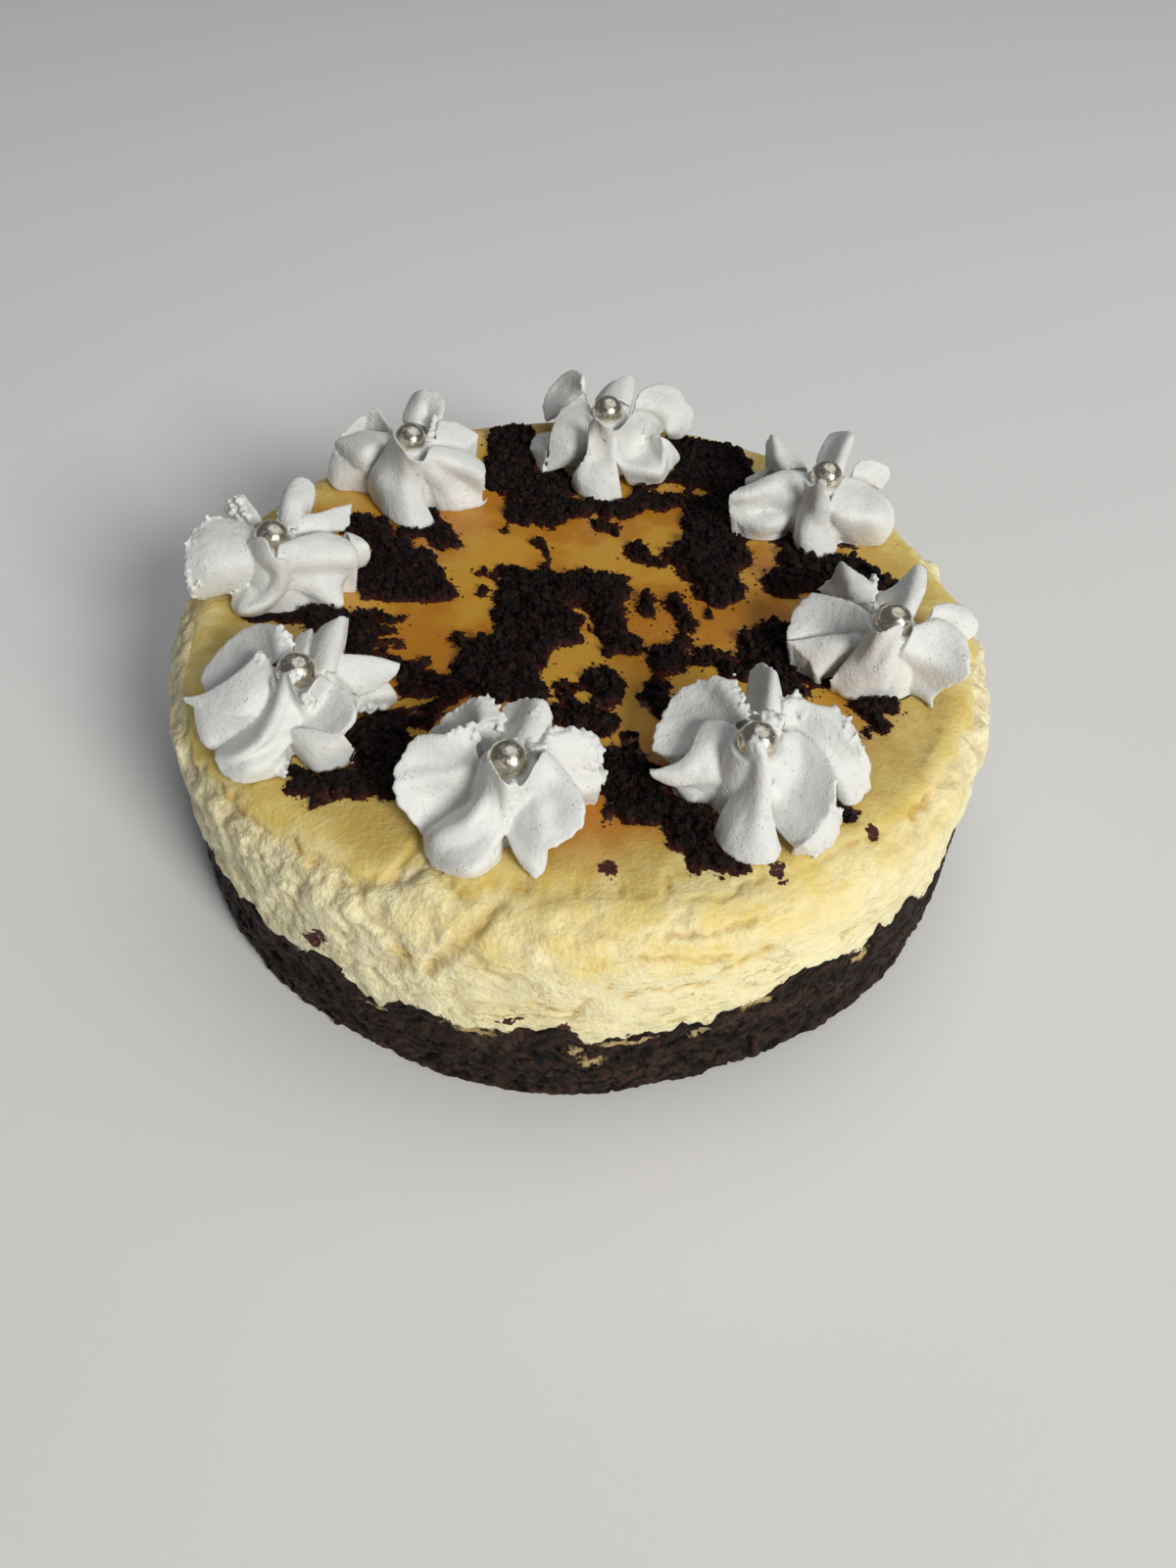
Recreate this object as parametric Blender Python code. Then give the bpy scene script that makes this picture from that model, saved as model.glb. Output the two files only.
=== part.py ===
"""A six-inch cheesecake baked on a brownie base.

The top carries crumbled brownie, eight piped cream flowers and one sugar pearl in each flower.
Lengths are millimetres until the last step, which turns them into metres. The origin is the
middle of the underside, +Z is up, and -Y is the side that faces the viewer of the photo.
"""
import math
import random
from dataclasses import dataclass

import bmesh
import bpy
from mathutils import Vector, noise

# Driving dimensions
MM = 0.001
CAKE_RADIUS = 76.0
CAKE_HEIGHT = 42.5
BASE_HEIGHT = 20.0
SHOULDER_WIDTH = 8.5
SHOULDER_HEIGHT = 8.5
NODE_GAP = 0.3
PEARL_RADIUS = 3.4
PEARL_HEIGHT = 12.0
FLOWER_CORE_RADIUS = 5.6
FLOWER_CORE_HEIGHT = 10.4
BLADE_THICKNESS = 3.0
LOBE_THICKNESS = 3.2
SEAT_SINK = 0.4
CRUMB_RADIUS = 3.1
CRUMB_SPACING = 4.8

# Mesh fineness
AROUND = 84
PETAL_STEPS = 4
SEED = 14


@dataclass(frozen=True)
class Fan:
    """A standing petal: a thin sheet that leaves the flower's middle upright and opens outward.

    Angles are degrees counter-clockwise from +X about the flower's own middle. The sheet's outer
    end runs from a low corner to a high one.
    """

    root: float
    low: float
    high: float
    reach: float
    low_height: float
    high_height: float
    cup: float = 1.0


@dataclass(frozen=True)
class Lobe:
    """A lying petal: a tongue spread on the cake, with a ridge that runs out from the middle."""

    root: float
    clockwise: float
    counter: float
    reach: float
    ridge_end: float = 0.5
    ridge_height: float = 9.0


@dataclass(frozen=True)
class Flower:
    """One piped flower: where its middle stands on the cake and which petals it has."""

    name: str
    ring_radius: float
    azimuth: float
    fans: tuple
    lobes: tuple

    @property
    def middle(self):
        """Plan position of the flower's middle."""
        angle = math.radians(self.azimuth)
        return self.ring_radius * math.cos(angle), self.ring_radius * math.sin(angle)


FLOWERS = (
    Flower(
        "front", 52.4, -100.7,
        (Fan(185, 208, 150, 17.5, 1.0, 9.5, 1.5), Fan(320, 288, 352, 13.5, 0.5, 9.0, 1.5),
         Fan(42, 18, 50, 15.5, 3.0, 9.0), Fan(78, 90, 66, 12.5, 1.0, 12.5), Fan(118, 135, 104, 13.5, 1.5, 12.0)),
        (Lobe(258, 215, 268, 15.0, 0.1), Lobe(300, 280, 300, 14.3, 0.5, 4.0), Lobe(12, 356, 22, 14.5, 0.5, 5.0)),
    ),
    Flower(
        "front_right", 53.1, -58.3,
        (Fan(142, 168, 118, 17.0, 2.0, 11.0, 2.0), Fan(172, 198, 168, 15.5, 2.5, 6.0, -1.5),
         Fan(330, 290, 8, 14.5, 0.5, 9.5, 1.5), Fan(20, 345, 50, 18.5, 1.5, 11.0), Fan(85, 98, 78, 13.0, 1.0, 13.0)),
        (Lobe(205, 188, 215, 12.5, 0.5, 4.0), Lobe(268, 245, 283, 16.3, 0.5), Lobe(305, 289, 325, 14.8, 0.5, 3.0)),
    ),
    Flower(
        "right", 55.2, -15.1,
        (Fan(150, 176, 128, 17.5, 3.0, 11.0, 2.0), Fan(185, 197, 172, 14.5, 1.0, 5.0),
         Fan(330, 300, 345, 14.3, 0.5, 5.0), Fan(10, 343, 35, 15.5, 1.5, 9.0, -0.5),
         Fan(40, 22, 50, 18.5, 4.0, 9.0), Fan(80, 92, 70, 12.5, 1.0, 13.0)),
        (Lobe(255, 212, 262, 11.5, 0.7),),
    ),
    Flower(
        "back_right", 56.0, 33.5,
        (Fan(125, 140, 110, 14.5, 2.0, 12.0), Fan(160, 185, 135, 16.0, 3.0, 9.0, -1.0),
         Fan(195, 214, 180, 16.5, 0.5, 5.0), Fan(335, 300, 10, 15.0, 0.5, 7.0, -0.5),
         Fan(40, 20, 55, 17.0, 3.0, 9.0), Fan(78, 90, 68, 12.5, 1.0, 13.0)),
        (Lobe(262, 243, 272, 13.0),),
    ),
    Flower(
        "back", 53.1, 86.6,
        (Fan(140, 165, 115, 16.5, 2.0, 11.0, 2.0), Fan(180, 216, 165, 14.5, 0.5, 9.5, -1.0),
         Fan(325, 293, 352, 14.5, 0.5, 8.0, 1.5), Fan(30, 2, 50, 17.5, 3.0, 10.0), Fan(75, 85, 65, 12.0, 1.0, 12.0)),
        (Lobe(205, 192, 213, 16.0, 0.5, 3.0), Lobe(268, 243, 283, 16.8), Lobe(320, 292, 345, 15.5, 0.5, 3.0)),
    ),
    Flower(
        "back_left", 52.8, 133.5,
        (Fan(150, 178, 125, 16.5, 2.0, 10.0, -1.0), Fan(340, 305, 10, 14.5, 1.0, 8.0, -1.0),
         Fan(40, 22, 58, 15.5, 3.0, 10.0), Fan(88, 98, 78, 12.5, 1.0, 13.0)),
        (Lobe(195, 180, 210, 14.0, 0.5, 5.0), Lobe(262, 222, 284, 16.5), Lobe(325, 303, 338, 16.0, 0.5, 4.0)),
    ),
    Flower(
        "left", 56.5, 177.4,
        (Fan(175, 208, 145, 18.0, 0.5, 9.0, -0.5), Fan(125, 138, 112, 15.0, 2.0, 11.0),
         Fan(92, 104, 82, 12.5, 1.0, 13.0), Fan(50, 35, 62, 16.0, 3.0, 10.0), Fan(350, 322, 20, 14.5, 0.5, 7.0)),
        (Lobe(25, 14, 35, 15.5, 0.5, 5.0), Lobe(265, 228, 285, 11.5, 0.5, 8.5)),
    ),
    Flower(
        "front_left", 56.0, -143.0,
        (Fan(150, 172, 118, 18.5, 2.0, 11.0, 2.0), Fan(172, 190, 165, 19.5, 3.0, 7.0, -1.5),
         Fan(330, 285, 360, 11.0, 1.0, 9.0, 1.5), Fan(35, 18, 45, 16.5, 3.5, 8.0, -1.0),
         Fan(72, 85, 62, 13.5, 1.0, 12.5), Fan(95, 105, 88, 11.0, 1.0, 10.0)),
        (Lobe(205, 190, 222, 15.5, 0.5, 4.0), Lobe(262, 219, 268, 16.2, 0.1, 10.0),
         Lobe(300, 276, 324, 14.0, 0.5, 4.0), Lobe(12, 2, 24, 15.0, 0.5, 5.0)),
    ),
)

# Crumbled brownie on the top: each smear is a straight stroke (x, y) to (x, y) with a half-width
CRUMB_STROKES = (
    (-20, 60, -18, 45, 5.0), (-15, 58, -13, 40, 5.0), (-12, 38, -6, 30, 5.5), (4, 28, 4, 29, 2.0),
    (-9, 22, -9, 19, 1.8), (1, 38, 14, 37, 2.8), (22, 60, 24, 45, 5.0), (32, 60, 30, 42, 5.0),
    (26, 38, 28, 25, 4.5), (12, 21, 20, 20, 3.0), (20, 24, 29, 22, 6.0), (22, 14, 28, 12, 4.5),
    (25, 8, 27, 5, 3.0), (37, 27, 42, 20, 5.0), (37, 12, 44, 8, 3.5), (56, 14, 57, 14, 2.0),
    (62, 28, 62, 28, 1.5), (-14, 8, -4, 8, 5.0), (0, 9, 6, 6, 4.0), (-11, 2, -9, -20, 6.0),
    (-18, -14, -14, -22, 4.5), (-3, 0, 8, -7, 4.5), (3, -18, 4, -20, 4.2), (-2, -25, 6, -30, 4.0),
    (12, 3, 12, 3, 1.8), (17, 4, 18, -1, 2.0), (18, -7, 18, -7, 2.5), (13, -10, 26, -11, 3.5),
    (14, -14, 16, -22, 3.0), (32, -3, 40, -6, 5.0), (28, -11, 34, -10, 4.0), (-44, 25, -38, 18, 4.0),
    (-38, 12, -28, 8, 6.0), (-44, 6, -30, 4, 5.0), (-30, 24, -28, 20, 3.0), (-62, -5, -50, 0, 5.0),
    (-50, -2, -44, -6, 4.0), (-42, -6, -34, -5, 3.0), (-42, -12, -36, -14, 2.5), (-32, -18, -26, -24, 3.0),
    (-24, -26, -18, -30, 3.5), (-36, -32, -30, -36, 4.5), (-40, -42, -34, -46, 5.0),
    (-46, -48, -38, -50, 2.5), (-28, -42, -28, -42, 3.0), (6, -38, 14, -42, 5.0), (8, -47, 18, -50, 4.0),
    (16, -54, 20, -58, 3.0), (6, -61, 6, -63, 1.6), (42, -48, 42, -48, 2.5), (47, -22, 53, -24, 3.0),
)

# Height of the brownie's upper edge round the wall, read on the side that the photo shows
EDGE_HEIGHTS = (
    (-180, 19.5), (-165, 20.5), (-150, 18.4), (-141, 18.8), (-132, 18.0), (-125, 20.0), (-120, 24.0),
    (-114, 16.5), (-109, 20.0), (-100, 18.5), (-92, 20.5), (-88, 20.0), (-84, 17.5), (-76, 18.5),
    (-68, 19.8), (-62, 23.0), (-58, 24.0), (-51, 20.5), (-47, 25.5), (-41, 22.5), (-34, 18.0),
    (-20, 20.0), (0, 18.8), (25, 21.0), (55, 19.0), (80, 20.8), (110, 19.2), (135, 21.2), (160, 19.0),
    (180, 19.5),
)

# Bulges and hollows of the foot of the wall: azimuth, half-width in degrees, outward shift
FOOT_SWELLS = ((-95, 14, 0.7), (-69, 14, -1.2), (-116, 10, -0.7), (20, 25, 0.6), (120, 30, -0.8))


def clear_scene():
    """Remove every object that the opened file holds."""
    for item in list(bpy.data.objects):
        bpy.data.objects.remove(item, do_unlink=True)


def make_material(name, colour, roughness, metallic=0.0):
    """A Principled material with a plain colour."""
    material = bpy.data.materials.new(name)
    material.use_nodes = True
    shader = material.node_tree.nodes["Principled BSDF"]
    shader.inputs["Base Color"].default_value = (*colour, 1.0)
    shader.inputs["Roughness"].default_value = roughness
    shader.inputs["Metallic"].default_value = metallic
    material.diffuse_color = (*colour, 1.0)
    return material


def make_object(name, points, faces, material=None):
    """A mesh object from points in millimetres, with its normals turned outward."""
    mesh = bpy.data.meshes.new(name)
    mesh.from_pydata([[value * MM for value in point] for point in points], [], faces)
    shell = bmesh.new()
    shell.from_mesh(mesh)
    bmesh.ops.recalc_face_normals(shell, faces=shell.faces)
    shell.to_mesh(mesh)
    shell.free()
    item = bpy.data.objects.new(name, mesh)
    bpy.context.scene.collection.objects.link(item)
    if material:
        mesh.materials.append(material)
    return item


def smooth_step(value):
    """Ease from 0 to 1 with level ends."""
    value = min(max(value, 0.0), 1.0)
    return value * value * (3.0 - 2.0 * value)


def blend(first, second, share):
    """Straight mix of two values."""
    return first + (second - first) * share


def edge_height(azimuth):
    """Height of the brownie's upper edge at an azimuth in degrees, eased between the readings."""
    turned = (azimuth + 180.0) % 360.0 - 180.0
    for (start, low), (end, high) in zip(EDGE_HEIGHTS, EDGE_HEIGHTS[1:]):
        if start <= turned <= end:
            return blend(low, high, smooth_step((turned - start) / (end - start)))
    return BASE_HEIGHT


def foot_swell(azimuth):
    """Outward shift of the foot of the wall at an azimuth in degrees."""
    shift = 0.0
    for middle, half_width, depth in FOOT_SWELLS:
        turned = (azimuth - middle + 180.0) % 360.0 - 180.0
        shift += depth * math.exp(-((turned / half_width) ** 2))
    return shift


def wall_relief(angle, height, depth, size):
    """Uneven wall: smooth noise over the wall, in millimetres, with lumps of the given size."""
    place = Vector((CAKE_RADIUS * math.cos(angle), CAKE_RADIUS * math.sin(angle), height * 1.4)) / size
    return depth * noise.noise(place)


def ring_angle(step):
    """Angle of one of the wall's vertical lines, in radians from -180 degrees."""
    return -math.pi + 2.0 * math.pi * step / AROUND


def seam_rings():
    """The seam between brownie and cheese: rings of (radius, height) from the flat middle to the wall."""
    inner = CAKE_RADIUS - 16.0
    rings = []
    for share in (0.0, 0.4, 0.72, 1.0):
        ring = []
        for step in range(AROUND):
            angle = ring_angle(step)
            radius = blend(inner, CAKE_RADIUS, share)
            height = blend(BASE_HEIGHT, edge_height(math.degrees(angle)), smooth_step(share))
            ring.append((radius, height))
        rings.append(ring)
    return rings


def ring_points(ring, rise=0.0):
    """Turn one ring of (radius, height) into points."""
    points = []
    for step, (radius, height) in enumerate(ring):
        angle = ring_angle(step)
        points.append((radius * math.cos(angle), radius * math.sin(angle), height + rise))
    return points


def strip_faces(first, second, seam_first):
    """Triangles between two rings, split so that both bodies cut the shared seam the same way."""
    faces = []
    for step in range(AROUND):
        after = (step + 1) % AROUND
        if seam_first:
            faces.append((first + step, first + after, second + after))
            faces.append((first + step, second + after, second + step))
        else:
            faces.append((first + step, first + after, second + step))
            faces.append((first + after, second + after, second + step))
    return faces


def round_solid(name, rings, material, seam_first):
    """A closed body from a stack of rings, the first and last of them filled flat.

    Rings run from the seam up where seam_first is set, and else from the underside to the seam.
    """
    points = []
    faces = []
    for ring in rings:
        points.extend(ring)
    for level in range(len(rings) - 1):
        faces.extend(strip_faces(level * AROUND, (level + 1) * AROUND, seam_first))
    faces.append(tuple(range(AROUND)))
    faces.append(tuple(range((len(rings) - 1) * AROUND, len(rings) * AROUND)))
    return make_object(name, points, faces, material)


def build_brownie(material):
    """The brownie base: flat underside, porous wall, and a wavy upper edge under the cheese."""
    rings = []
    for height, inset in ((0.0, 1.2), (1.2, 0.3), (7.0, 0.0), (13.0, 0.0)):
        ring = []
        for step in range(AROUND):
            angle = ring_angle(step)
            swell = foot_swell(math.degrees(angle)) * (1.0 - height / BASE_HEIGHT)
            relief = wall_relief(angle, height, 1.4, 7.0) if height else 0.0
            level = height * min(1.0, edge_height(math.degrees(angle)) / BASE_HEIGHT)
            ring.append((CAKE_RADIUS - inset + swell + relief, level))
        rings.append(ring_points(ring))
    for ring in reversed(seam_rings()):
        rings.append(ring_points(ring))
    return round_solid("brownie_base", rings, material, False)


def build_cheese(material):
    """The cheese layer: it stands on the brownie's seam and ends in a rounded shoulder."""
    seam = seam_rings()
    rings = [ring_points(ring, NODE_GAP) for ring in seam]
    shoulder_start = CAKE_HEIGHT - SHOULDER_HEIGHT
    for share in (0.35, 0.7, 1.0):
        ring = []
        for step in range(AROUND):
            angle = ring_angle(step)
            height = blend(seam[-1][step][1] + NODE_GAP, shoulder_start, share)
            ring.append((CAKE_RADIUS + wall_relief(angle, height, 1.9, 8.0), height))
        rings.append(ring_points(ring))
    for turn in (25.0, 48.0, 70.0, 90.0):
        ring = []
        for step in range(AROUND):
            angle = ring_angle(step)
            radius = CAKE_RADIUS - SHOULDER_WIDTH * (1.0 - math.cos(math.radians(turn)))
            height = shoulder_start + SHOULDER_HEIGHT * math.sin(math.radians(turn))
            relief = wall_relief(angle, height, 1.6, 8.0) * math.cos(math.radians(turn))
            ring.append((radius + relief, height))
        rings.append(ring_points(ring))
    return round_solid("cheese_layer", rings, material, True)


def crumb_places():
    """Middles of the crumbs: a jittered grid in each smear, clear of each other and of the flowers."""
    draw = random.Random(SEED)
    places = []
    for x_start, y_start, x_end, y_end, half_width in sorted(CRUMB_STROKES, key=lambda stroke: -stroke[4]):
        length = math.hypot(x_end - x_start, y_end - y_start)
        along = max(1, round((length + 1.2 * half_width) / CRUMB_SPACING))
        across = max(1, round(1.7 * half_width / CRUMB_SPACING))
        direction = math.atan2(y_end - y_start, x_end - x_start) if length > 0.1 else 0.0
        for row in range(along):
            for column in range(across):
                run = ((row + 0.5) / along - 0.5) * (length + 1.2 * half_width) + draw.uniform(-0.5, 0.5)
                side = ((column + 0.5) / across - 0.5) * 1.7 * half_width + draw.uniform(-0.5, 0.5)
                x = (x_start + x_end) / 2 + run * math.cos(direction) - side * math.sin(direction)
                y = (y_start + y_end) / 2 + run * math.sin(direction) + side * math.cos(direction)
                radius = min(CRUMB_RADIUS, max(1.4, half_width)) * draw.uniform(0.85, 1.15)
                apart = all(math.hypot(x - a, y - b) > 0.8 * CRUMB_SPACING for a, b, _ in places)
                on_flat = math.hypot(x, y) + radius < CAKE_RADIUS - SHOULDER_WIDTH - 0.5
                if apart and on_flat and clear_of_flowers(x, y, radius):
                    places.append((x, y, radius))
    return places


def petal_sectors(flower):
    """Plan sectors that a flower covers: (first angle, last angle, reach) for each petal."""
    for fan in flower.fans:
        turned = [(angle - fan.root + 180.0) % 360.0 - 180.0 for angle in (fan.low, fan.high)]
        yield fan.root + min(0.0, *turned), fan.root + max(0.0, *turned), fan.reach
    for lobe in flower.lobes:
        turned = [(angle - lobe.root + 180.0) % 360.0 - 180.0 for angle in (lobe.clockwise, lobe.counter)]
        yield lobe.root + min(0.0, *turned), lobe.root + max(0.0, *turned), lobe.reach


def clear_of_flowers(x, y, radius):
    """Whether a crumb of this radius stays clear of every flower's core and petals."""
    margin = radius + 1.6
    for flower in FLOWERS:
        middle_x, middle_y = flower.middle
        distance = math.hypot(x - middle_x, y - middle_y)
        if distance < FLOWER_CORE_RADIUS + margin + 1.5:
            return False
        angle = math.degrees(math.atan2(y - middle_y, x - middle_x))
        pad = math.degrees(math.asin(min(1.0, margin / distance)))
        for first, last, reach in petal_sectors(flower):
            span = last - first
            offset = (angle - first) % 360.0
            inside = offset <= span + pad or offset >= 360.0 - pad
            if inside and distance < reach + margin:
                return False
    return True


def make_crumb(x, y, radius, draw):
    """One crumb: a lump of twenty faces, knocked out of round and half sunk in the top."""
    shell = bmesh.new()
    bmesh.ops.create_icosphere(shell, subdivisions=1, radius=1.0)
    points = []
    for vertex in shell.verts:
        swell = draw.uniform(0.82, 1.18)
        points.append((
            x + vertex.co.x * radius * swell,
            y + vertex.co.y * radius * swell,
            CAKE_HEIGHT + 0.15 + vertex.co.z * 0.58 * radius * swell,
        ))
    faces = [[vertex.index for vertex in face.verts] for face in shell.faces]
    shell.free()
    return make_object("crumb", points, faces)


def join_bodies(target, bodies, operation="UNION"):
    """One Boolean of a set of bodies on the target, applied, with the bodies then removed."""
    group = bpy.data.collections.new("operands")
    bpy.context.scene.collection.children.link(group)
    for body in bodies:
        bpy.context.scene.collection.objects.unlink(body)
        group.objects.link(body)
    step = target.modifiers.new("join", "BOOLEAN")
    step.operation = operation
    step.solver = "EXACT"
    step.operand_type = "COLLECTION"
    step.collection = group
    step.use_self = operation == "UNION"
    bpy.context.view_layer.update()
    graph = bpy.context.evaluated_depsgraph_get()
    joined = bpy.data.meshes.new_from_object(target.evaluated_get(graph))
    target.modifiers.clear()
    target.data = joined
    for body in bodies:
        bpy.data.objects.remove(body, do_unlink=True)
    bpy.data.collections.remove(group)


def tidy_shell(item):
    """Weld doubled points, drop scraps that hang loose, and turn the faces outward."""
    shell = bmesh.new()
    shell.from_mesh(item.data)
    bmesh.ops.remove_doubles(shell, verts=shell.verts, dist=0.001 * MM)
    shell.verts.ensure_lookup_table()
    left = set(shell.verts)
    pieces = []
    while left:
        stack = [left.pop()]
        piece = set(stack)
        while stack:
            for edge in stack.pop().link_edges:
                for vertex in edge.verts:
                    if vertex in left:
                        left.remove(vertex)
                        piece.add(vertex)
                        stack.append(vertex)
        pieces.append(piece)
    pieces.sort(key=len, reverse=True)
    for scrap in pieces[1:]:
        bmesh.ops.delete(shell, geom=list(scrap), context="VERTS")
    bmesh.ops.triangulate(shell, faces=shell.faces)
    bmesh.ops.recalc_face_normals(shell, faces=shell.faces)
    shell.to_mesh(item.data)
    shell.free()


def polar(radius, angle, height):
    """A point from a radius, an angle in degrees and a height."""
    turned = math.radians(angle)
    return Vector((radius * math.cos(turned), radius * math.sin(turned), height))


def fan_middle(fan, out, across):
    """Point on a standing petal's middle sheet, with out from 0 to 1 and across from low to high."""
    low_turn = (fan.low - fan.root + 180.0) % 360.0 - 180.0
    high_turn = (fan.high - fan.root + 180.0) % 360.0 - 180.0
    angle = fan.root + blend(low_turn, high_turn, across) * out ** 1.3
    reach = fan.reach * (0.80 + 0.20 * math.sin(math.pi * across))
    radius = 1.0 + (reach - 1.0) * out
    low = blend(-1.0, fan.low_height, out * out)
    high = blend(FLOWER_CORE_HEIGHT, fan.high_height, out) + 1.2 * math.sin(math.pi * out)
    height = blend(low, high, across) - fan.cup * math.sin(math.pi * across) * out
    return polar(radius, angle, height)


def lobe_top(lobe, out, across):
    """Point on a lying petal's upper face: a low tongue with a ridge that fades toward its end."""
    clockwise_turn = (lobe.clockwise - lobe.root + 180.0) % 360.0 - 180.0
    counter_turn = (lobe.counter - lobe.root + 180.0) % 360.0 - 180.0
    spread = blend(-70.0, 70.0, across) * (1.0 - out) ** 3
    angle = lobe.root + blend(clockwise_turn, counter_turn, across) * out ** 0.8 + spread
    reach = lobe.reach * (0.84 + 0.16 * math.sin(math.pi * across))
    radius = 2.4 + (reach - 2.4) * out
    rim = math.sqrt(max(0.0, 1.0 - (2.0 * across - 1.0) ** 4)) * math.sqrt(max(0.0, 1.0 - out ** 6))
    ridge_at = blend(0.5, lobe.ridge_end, out)
    ridge = lobe.ridge_height * (1.0 - out) ** 1.4 * math.exp(-(((across - ridge_at) / 0.28) ** 2))
    return polar(radius, angle, LOBE_THICKNESS * rim + ridge - SEAT_SINK)


def sheet_solid(upper, lower):
    """Closed body between two point grids that meet along their shared border."""
    rows = len(upper)
    columns = len(upper[0])
    points = [tuple(point) for row in upper for point in row]
    index = {}
    for row in range(rows):
        for column in range(columns):
            border = row in (0, rows - 1) or column in (0, columns - 1)
            if border:
                index[row, column] = row * columns + column
            else:
                index[row, column] = len(points)
                points.append(tuple(lower[row][column]))
    faces = []
    for row in range(rows - 1):
        for column in range(columns - 1):
            ring = ((row, column), (row, column + 1), (row + 1, column + 1), (row + 1, column))
            start = 0 if (row < rows // 2) == (column < columns // 2) else 1
            for first, second in ((start + 1, start + 2), (start + 2, start + 3)):
                triangle = (ring[start], ring[first % 4], ring[second % 4])
                faces.append(tuple(place[0] * columns + place[1] for place in triangle))
                faces.append(tuple(index[place] for place in reversed(triangle)))
    return points, faces


def fan_solid(fan):
    """A standing petal as a lens-shaped body round its middle sheet."""
    steps = range(PETAL_STEPS + 1)
    middle = [[fan_middle(fan, row / PETAL_STEPS, column / PETAL_STEPS) for column in steps] for row in steps]
    upper = []
    lower = []
    for row in steps:
        upper_row = []
        lower_row = []
        for column in steps:
            out = row / PETAL_STEPS
            across = column / PETAL_STEPS
            run = fan_middle(fan, out + 0.01, across) - fan_middle(fan, out - 0.01 if out > 0.02 else out, across)
            side = fan_middle(fan, out, across + 0.01) - fan_middle(fan, out, across - 0.01)
            normal = run.cross(side).normalized() if run.cross(side).length > 1e-9 else Vector((0, 0, 1))
            half = 0.5 * BLADE_THICKNESS * (1.15 - 0.45 * across)
            upper_row.append(middle[row][column] + normal * half)
            lower_row.append(middle[row][column] - normal * half)
        upper.append(upper_row)
        lower.append(lower_row)
    for row in steps:
        for column in steps:
            if row in (0, PETAL_STEPS) or column in (0, PETAL_STEPS):
                upper[row][column] = middle[row][column]
    return sheet_solid(upper, lower)


def lobe_solid(lobe):
    """A lying petal as a body from below the cake's top up to its ridged upper face."""
    steps = range(PETAL_STEPS + 1)
    upper = [[lobe_top(lobe, row / PETAL_STEPS, column / PETAL_STEPS) for column in steps] for row in steps]
    lower = [[Vector((point.x, point.y, -1.2)) for point in row] for row in upper]
    return sheet_solid(upper, lower)


def core_solid():
    """The flower's middle: a short tapered column that the petals grow out of."""
    sides = 12
    points = []
    for radius, height in (
        (FLOWER_CORE_RADIUS, -1.5),
        (FLOWER_CORE_RADIUS * 0.92, FLOWER_CORE_HEIGHT * 0.45),
        (FLOWER_CORE_RADIUS * 0.78, FLOWER_CORE_HEIGHT),
    ):
        for side in range(sides):
            points.append(tuple(polar(radius, 360.0 * side / sides, height)))
    faces = [tuple(range(sides)), tuple(range(2 * sides, 3 * sides))]
    for level in (0, sides):
        for side in range(sides):
            after = (side + 1) % sides
            faces.append((level + side, level + after, level + sides + after, level + sides + side))
    return points, faces


def build_flower(flower, material):
    """One piped flower: core and petals in one body, cut flat below and hollowed for its pearl."""
    middle_x, middle_y = flower.middle
    seat = CAKE_HEIGHT + NODE_GAP

    def placed(shape, name):
        points, faces = shape
        moved = [(x + middle_x, y + middle_y, z + seat) for x, y, z in points]
        return make_object(name, moved, faces, material)

    body = placed(core_solid(), f"flower_{flower.name}")
    petals = [placed(fan_solid(fan), "petal") for fan in flower.fans]
    petals += [placed(lobe_solid(lobe), "petal") for lobe in flower.lobes]
    join_bodies(body, petals)
    slab = placed(box_solid(30.0, -8.0, 0.0), "slab")
    dent = make_ball("dent", PEARL_RADIUS + NODE_GAP, middle_x, middle_y, 2)
    join_bodies(body, [slab, dent], "DIFFERENCE")
    tidy_shell(body)
    return body


def box_solid(half_width, low, high):
    """A square block between two heights."""
    points = [(x, y, z) for z in (low, high) for x, y in (
        (-half_width, -half_width), (half_width, -half_width), (half_width, half_width), (-half_width, half_width),
    )]
    faces = [(0, 3, 2, 1), (4, 5, 6, 7), (0, 1, 5, 4), (1, 2, 6, 5), (2, 3, 7, 6), (3, 0, 4, 7)]
    return points, faces


def make_ball(name, radius, x, y, fineness, material=None):
    """A ball at a pearl's place, with its points at the given radius."""
    shell = bmesh.new()
    bmesh.ops.create_icosphere(shell, subdivisions=fineness, radius=radius)
    height = CAKE_HEIGHT + PEARL_HEIGHT
    points = [(vertex.co.x + x, vertex.co.y + y, vertex.co.z + height) for vertex in shell.verts]
    faces = [[vertex.index for vertex in face.verts] for face in shell.faces]
    shell.free()
    return make_object(name, points, faces, material)


def build_pearl(flower, material):
    """The sugar pearl that sits in one flower's middle."""
    middle_x, middle_y = flower.middle
    pearl = make_ball(f"pearl_{flower.name}", PEARL_RADIUS, middle_x, middle_y, 2, material)
    for face in pearl.data.polygons:
        face.use_smooth = True
    return pearl


def main():
    clear_scene()
    brownie = make_material("brownie", (0.020, 0.010, 0.007), 0.85)
    cheese = make_material("cheese", (0.80, 0.66, 0.36), 0.5)
    cream = make_material("cream", (0.86, 0.86, 0.85), 0.45)
    silver = make_material("silver_sugar", (0.62, 0.58, 0.50), 0.22, 1.0)

    build_brownie(brownie)
    layer = build_cheese(cheese)
    draw = random.Random(SEED + 1)
    crumbs = [make_crumb(x, y, radius, draw) for x, y, radius in crumb_places()]
    join_bodies(layer, crumbs)
    tidy_shell(layer)
    for flower in FLOWERS:
        build_flower(flower, cream)
        build_pearl(flower, silver)


if __name__ == "__main__":
    main()
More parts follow.
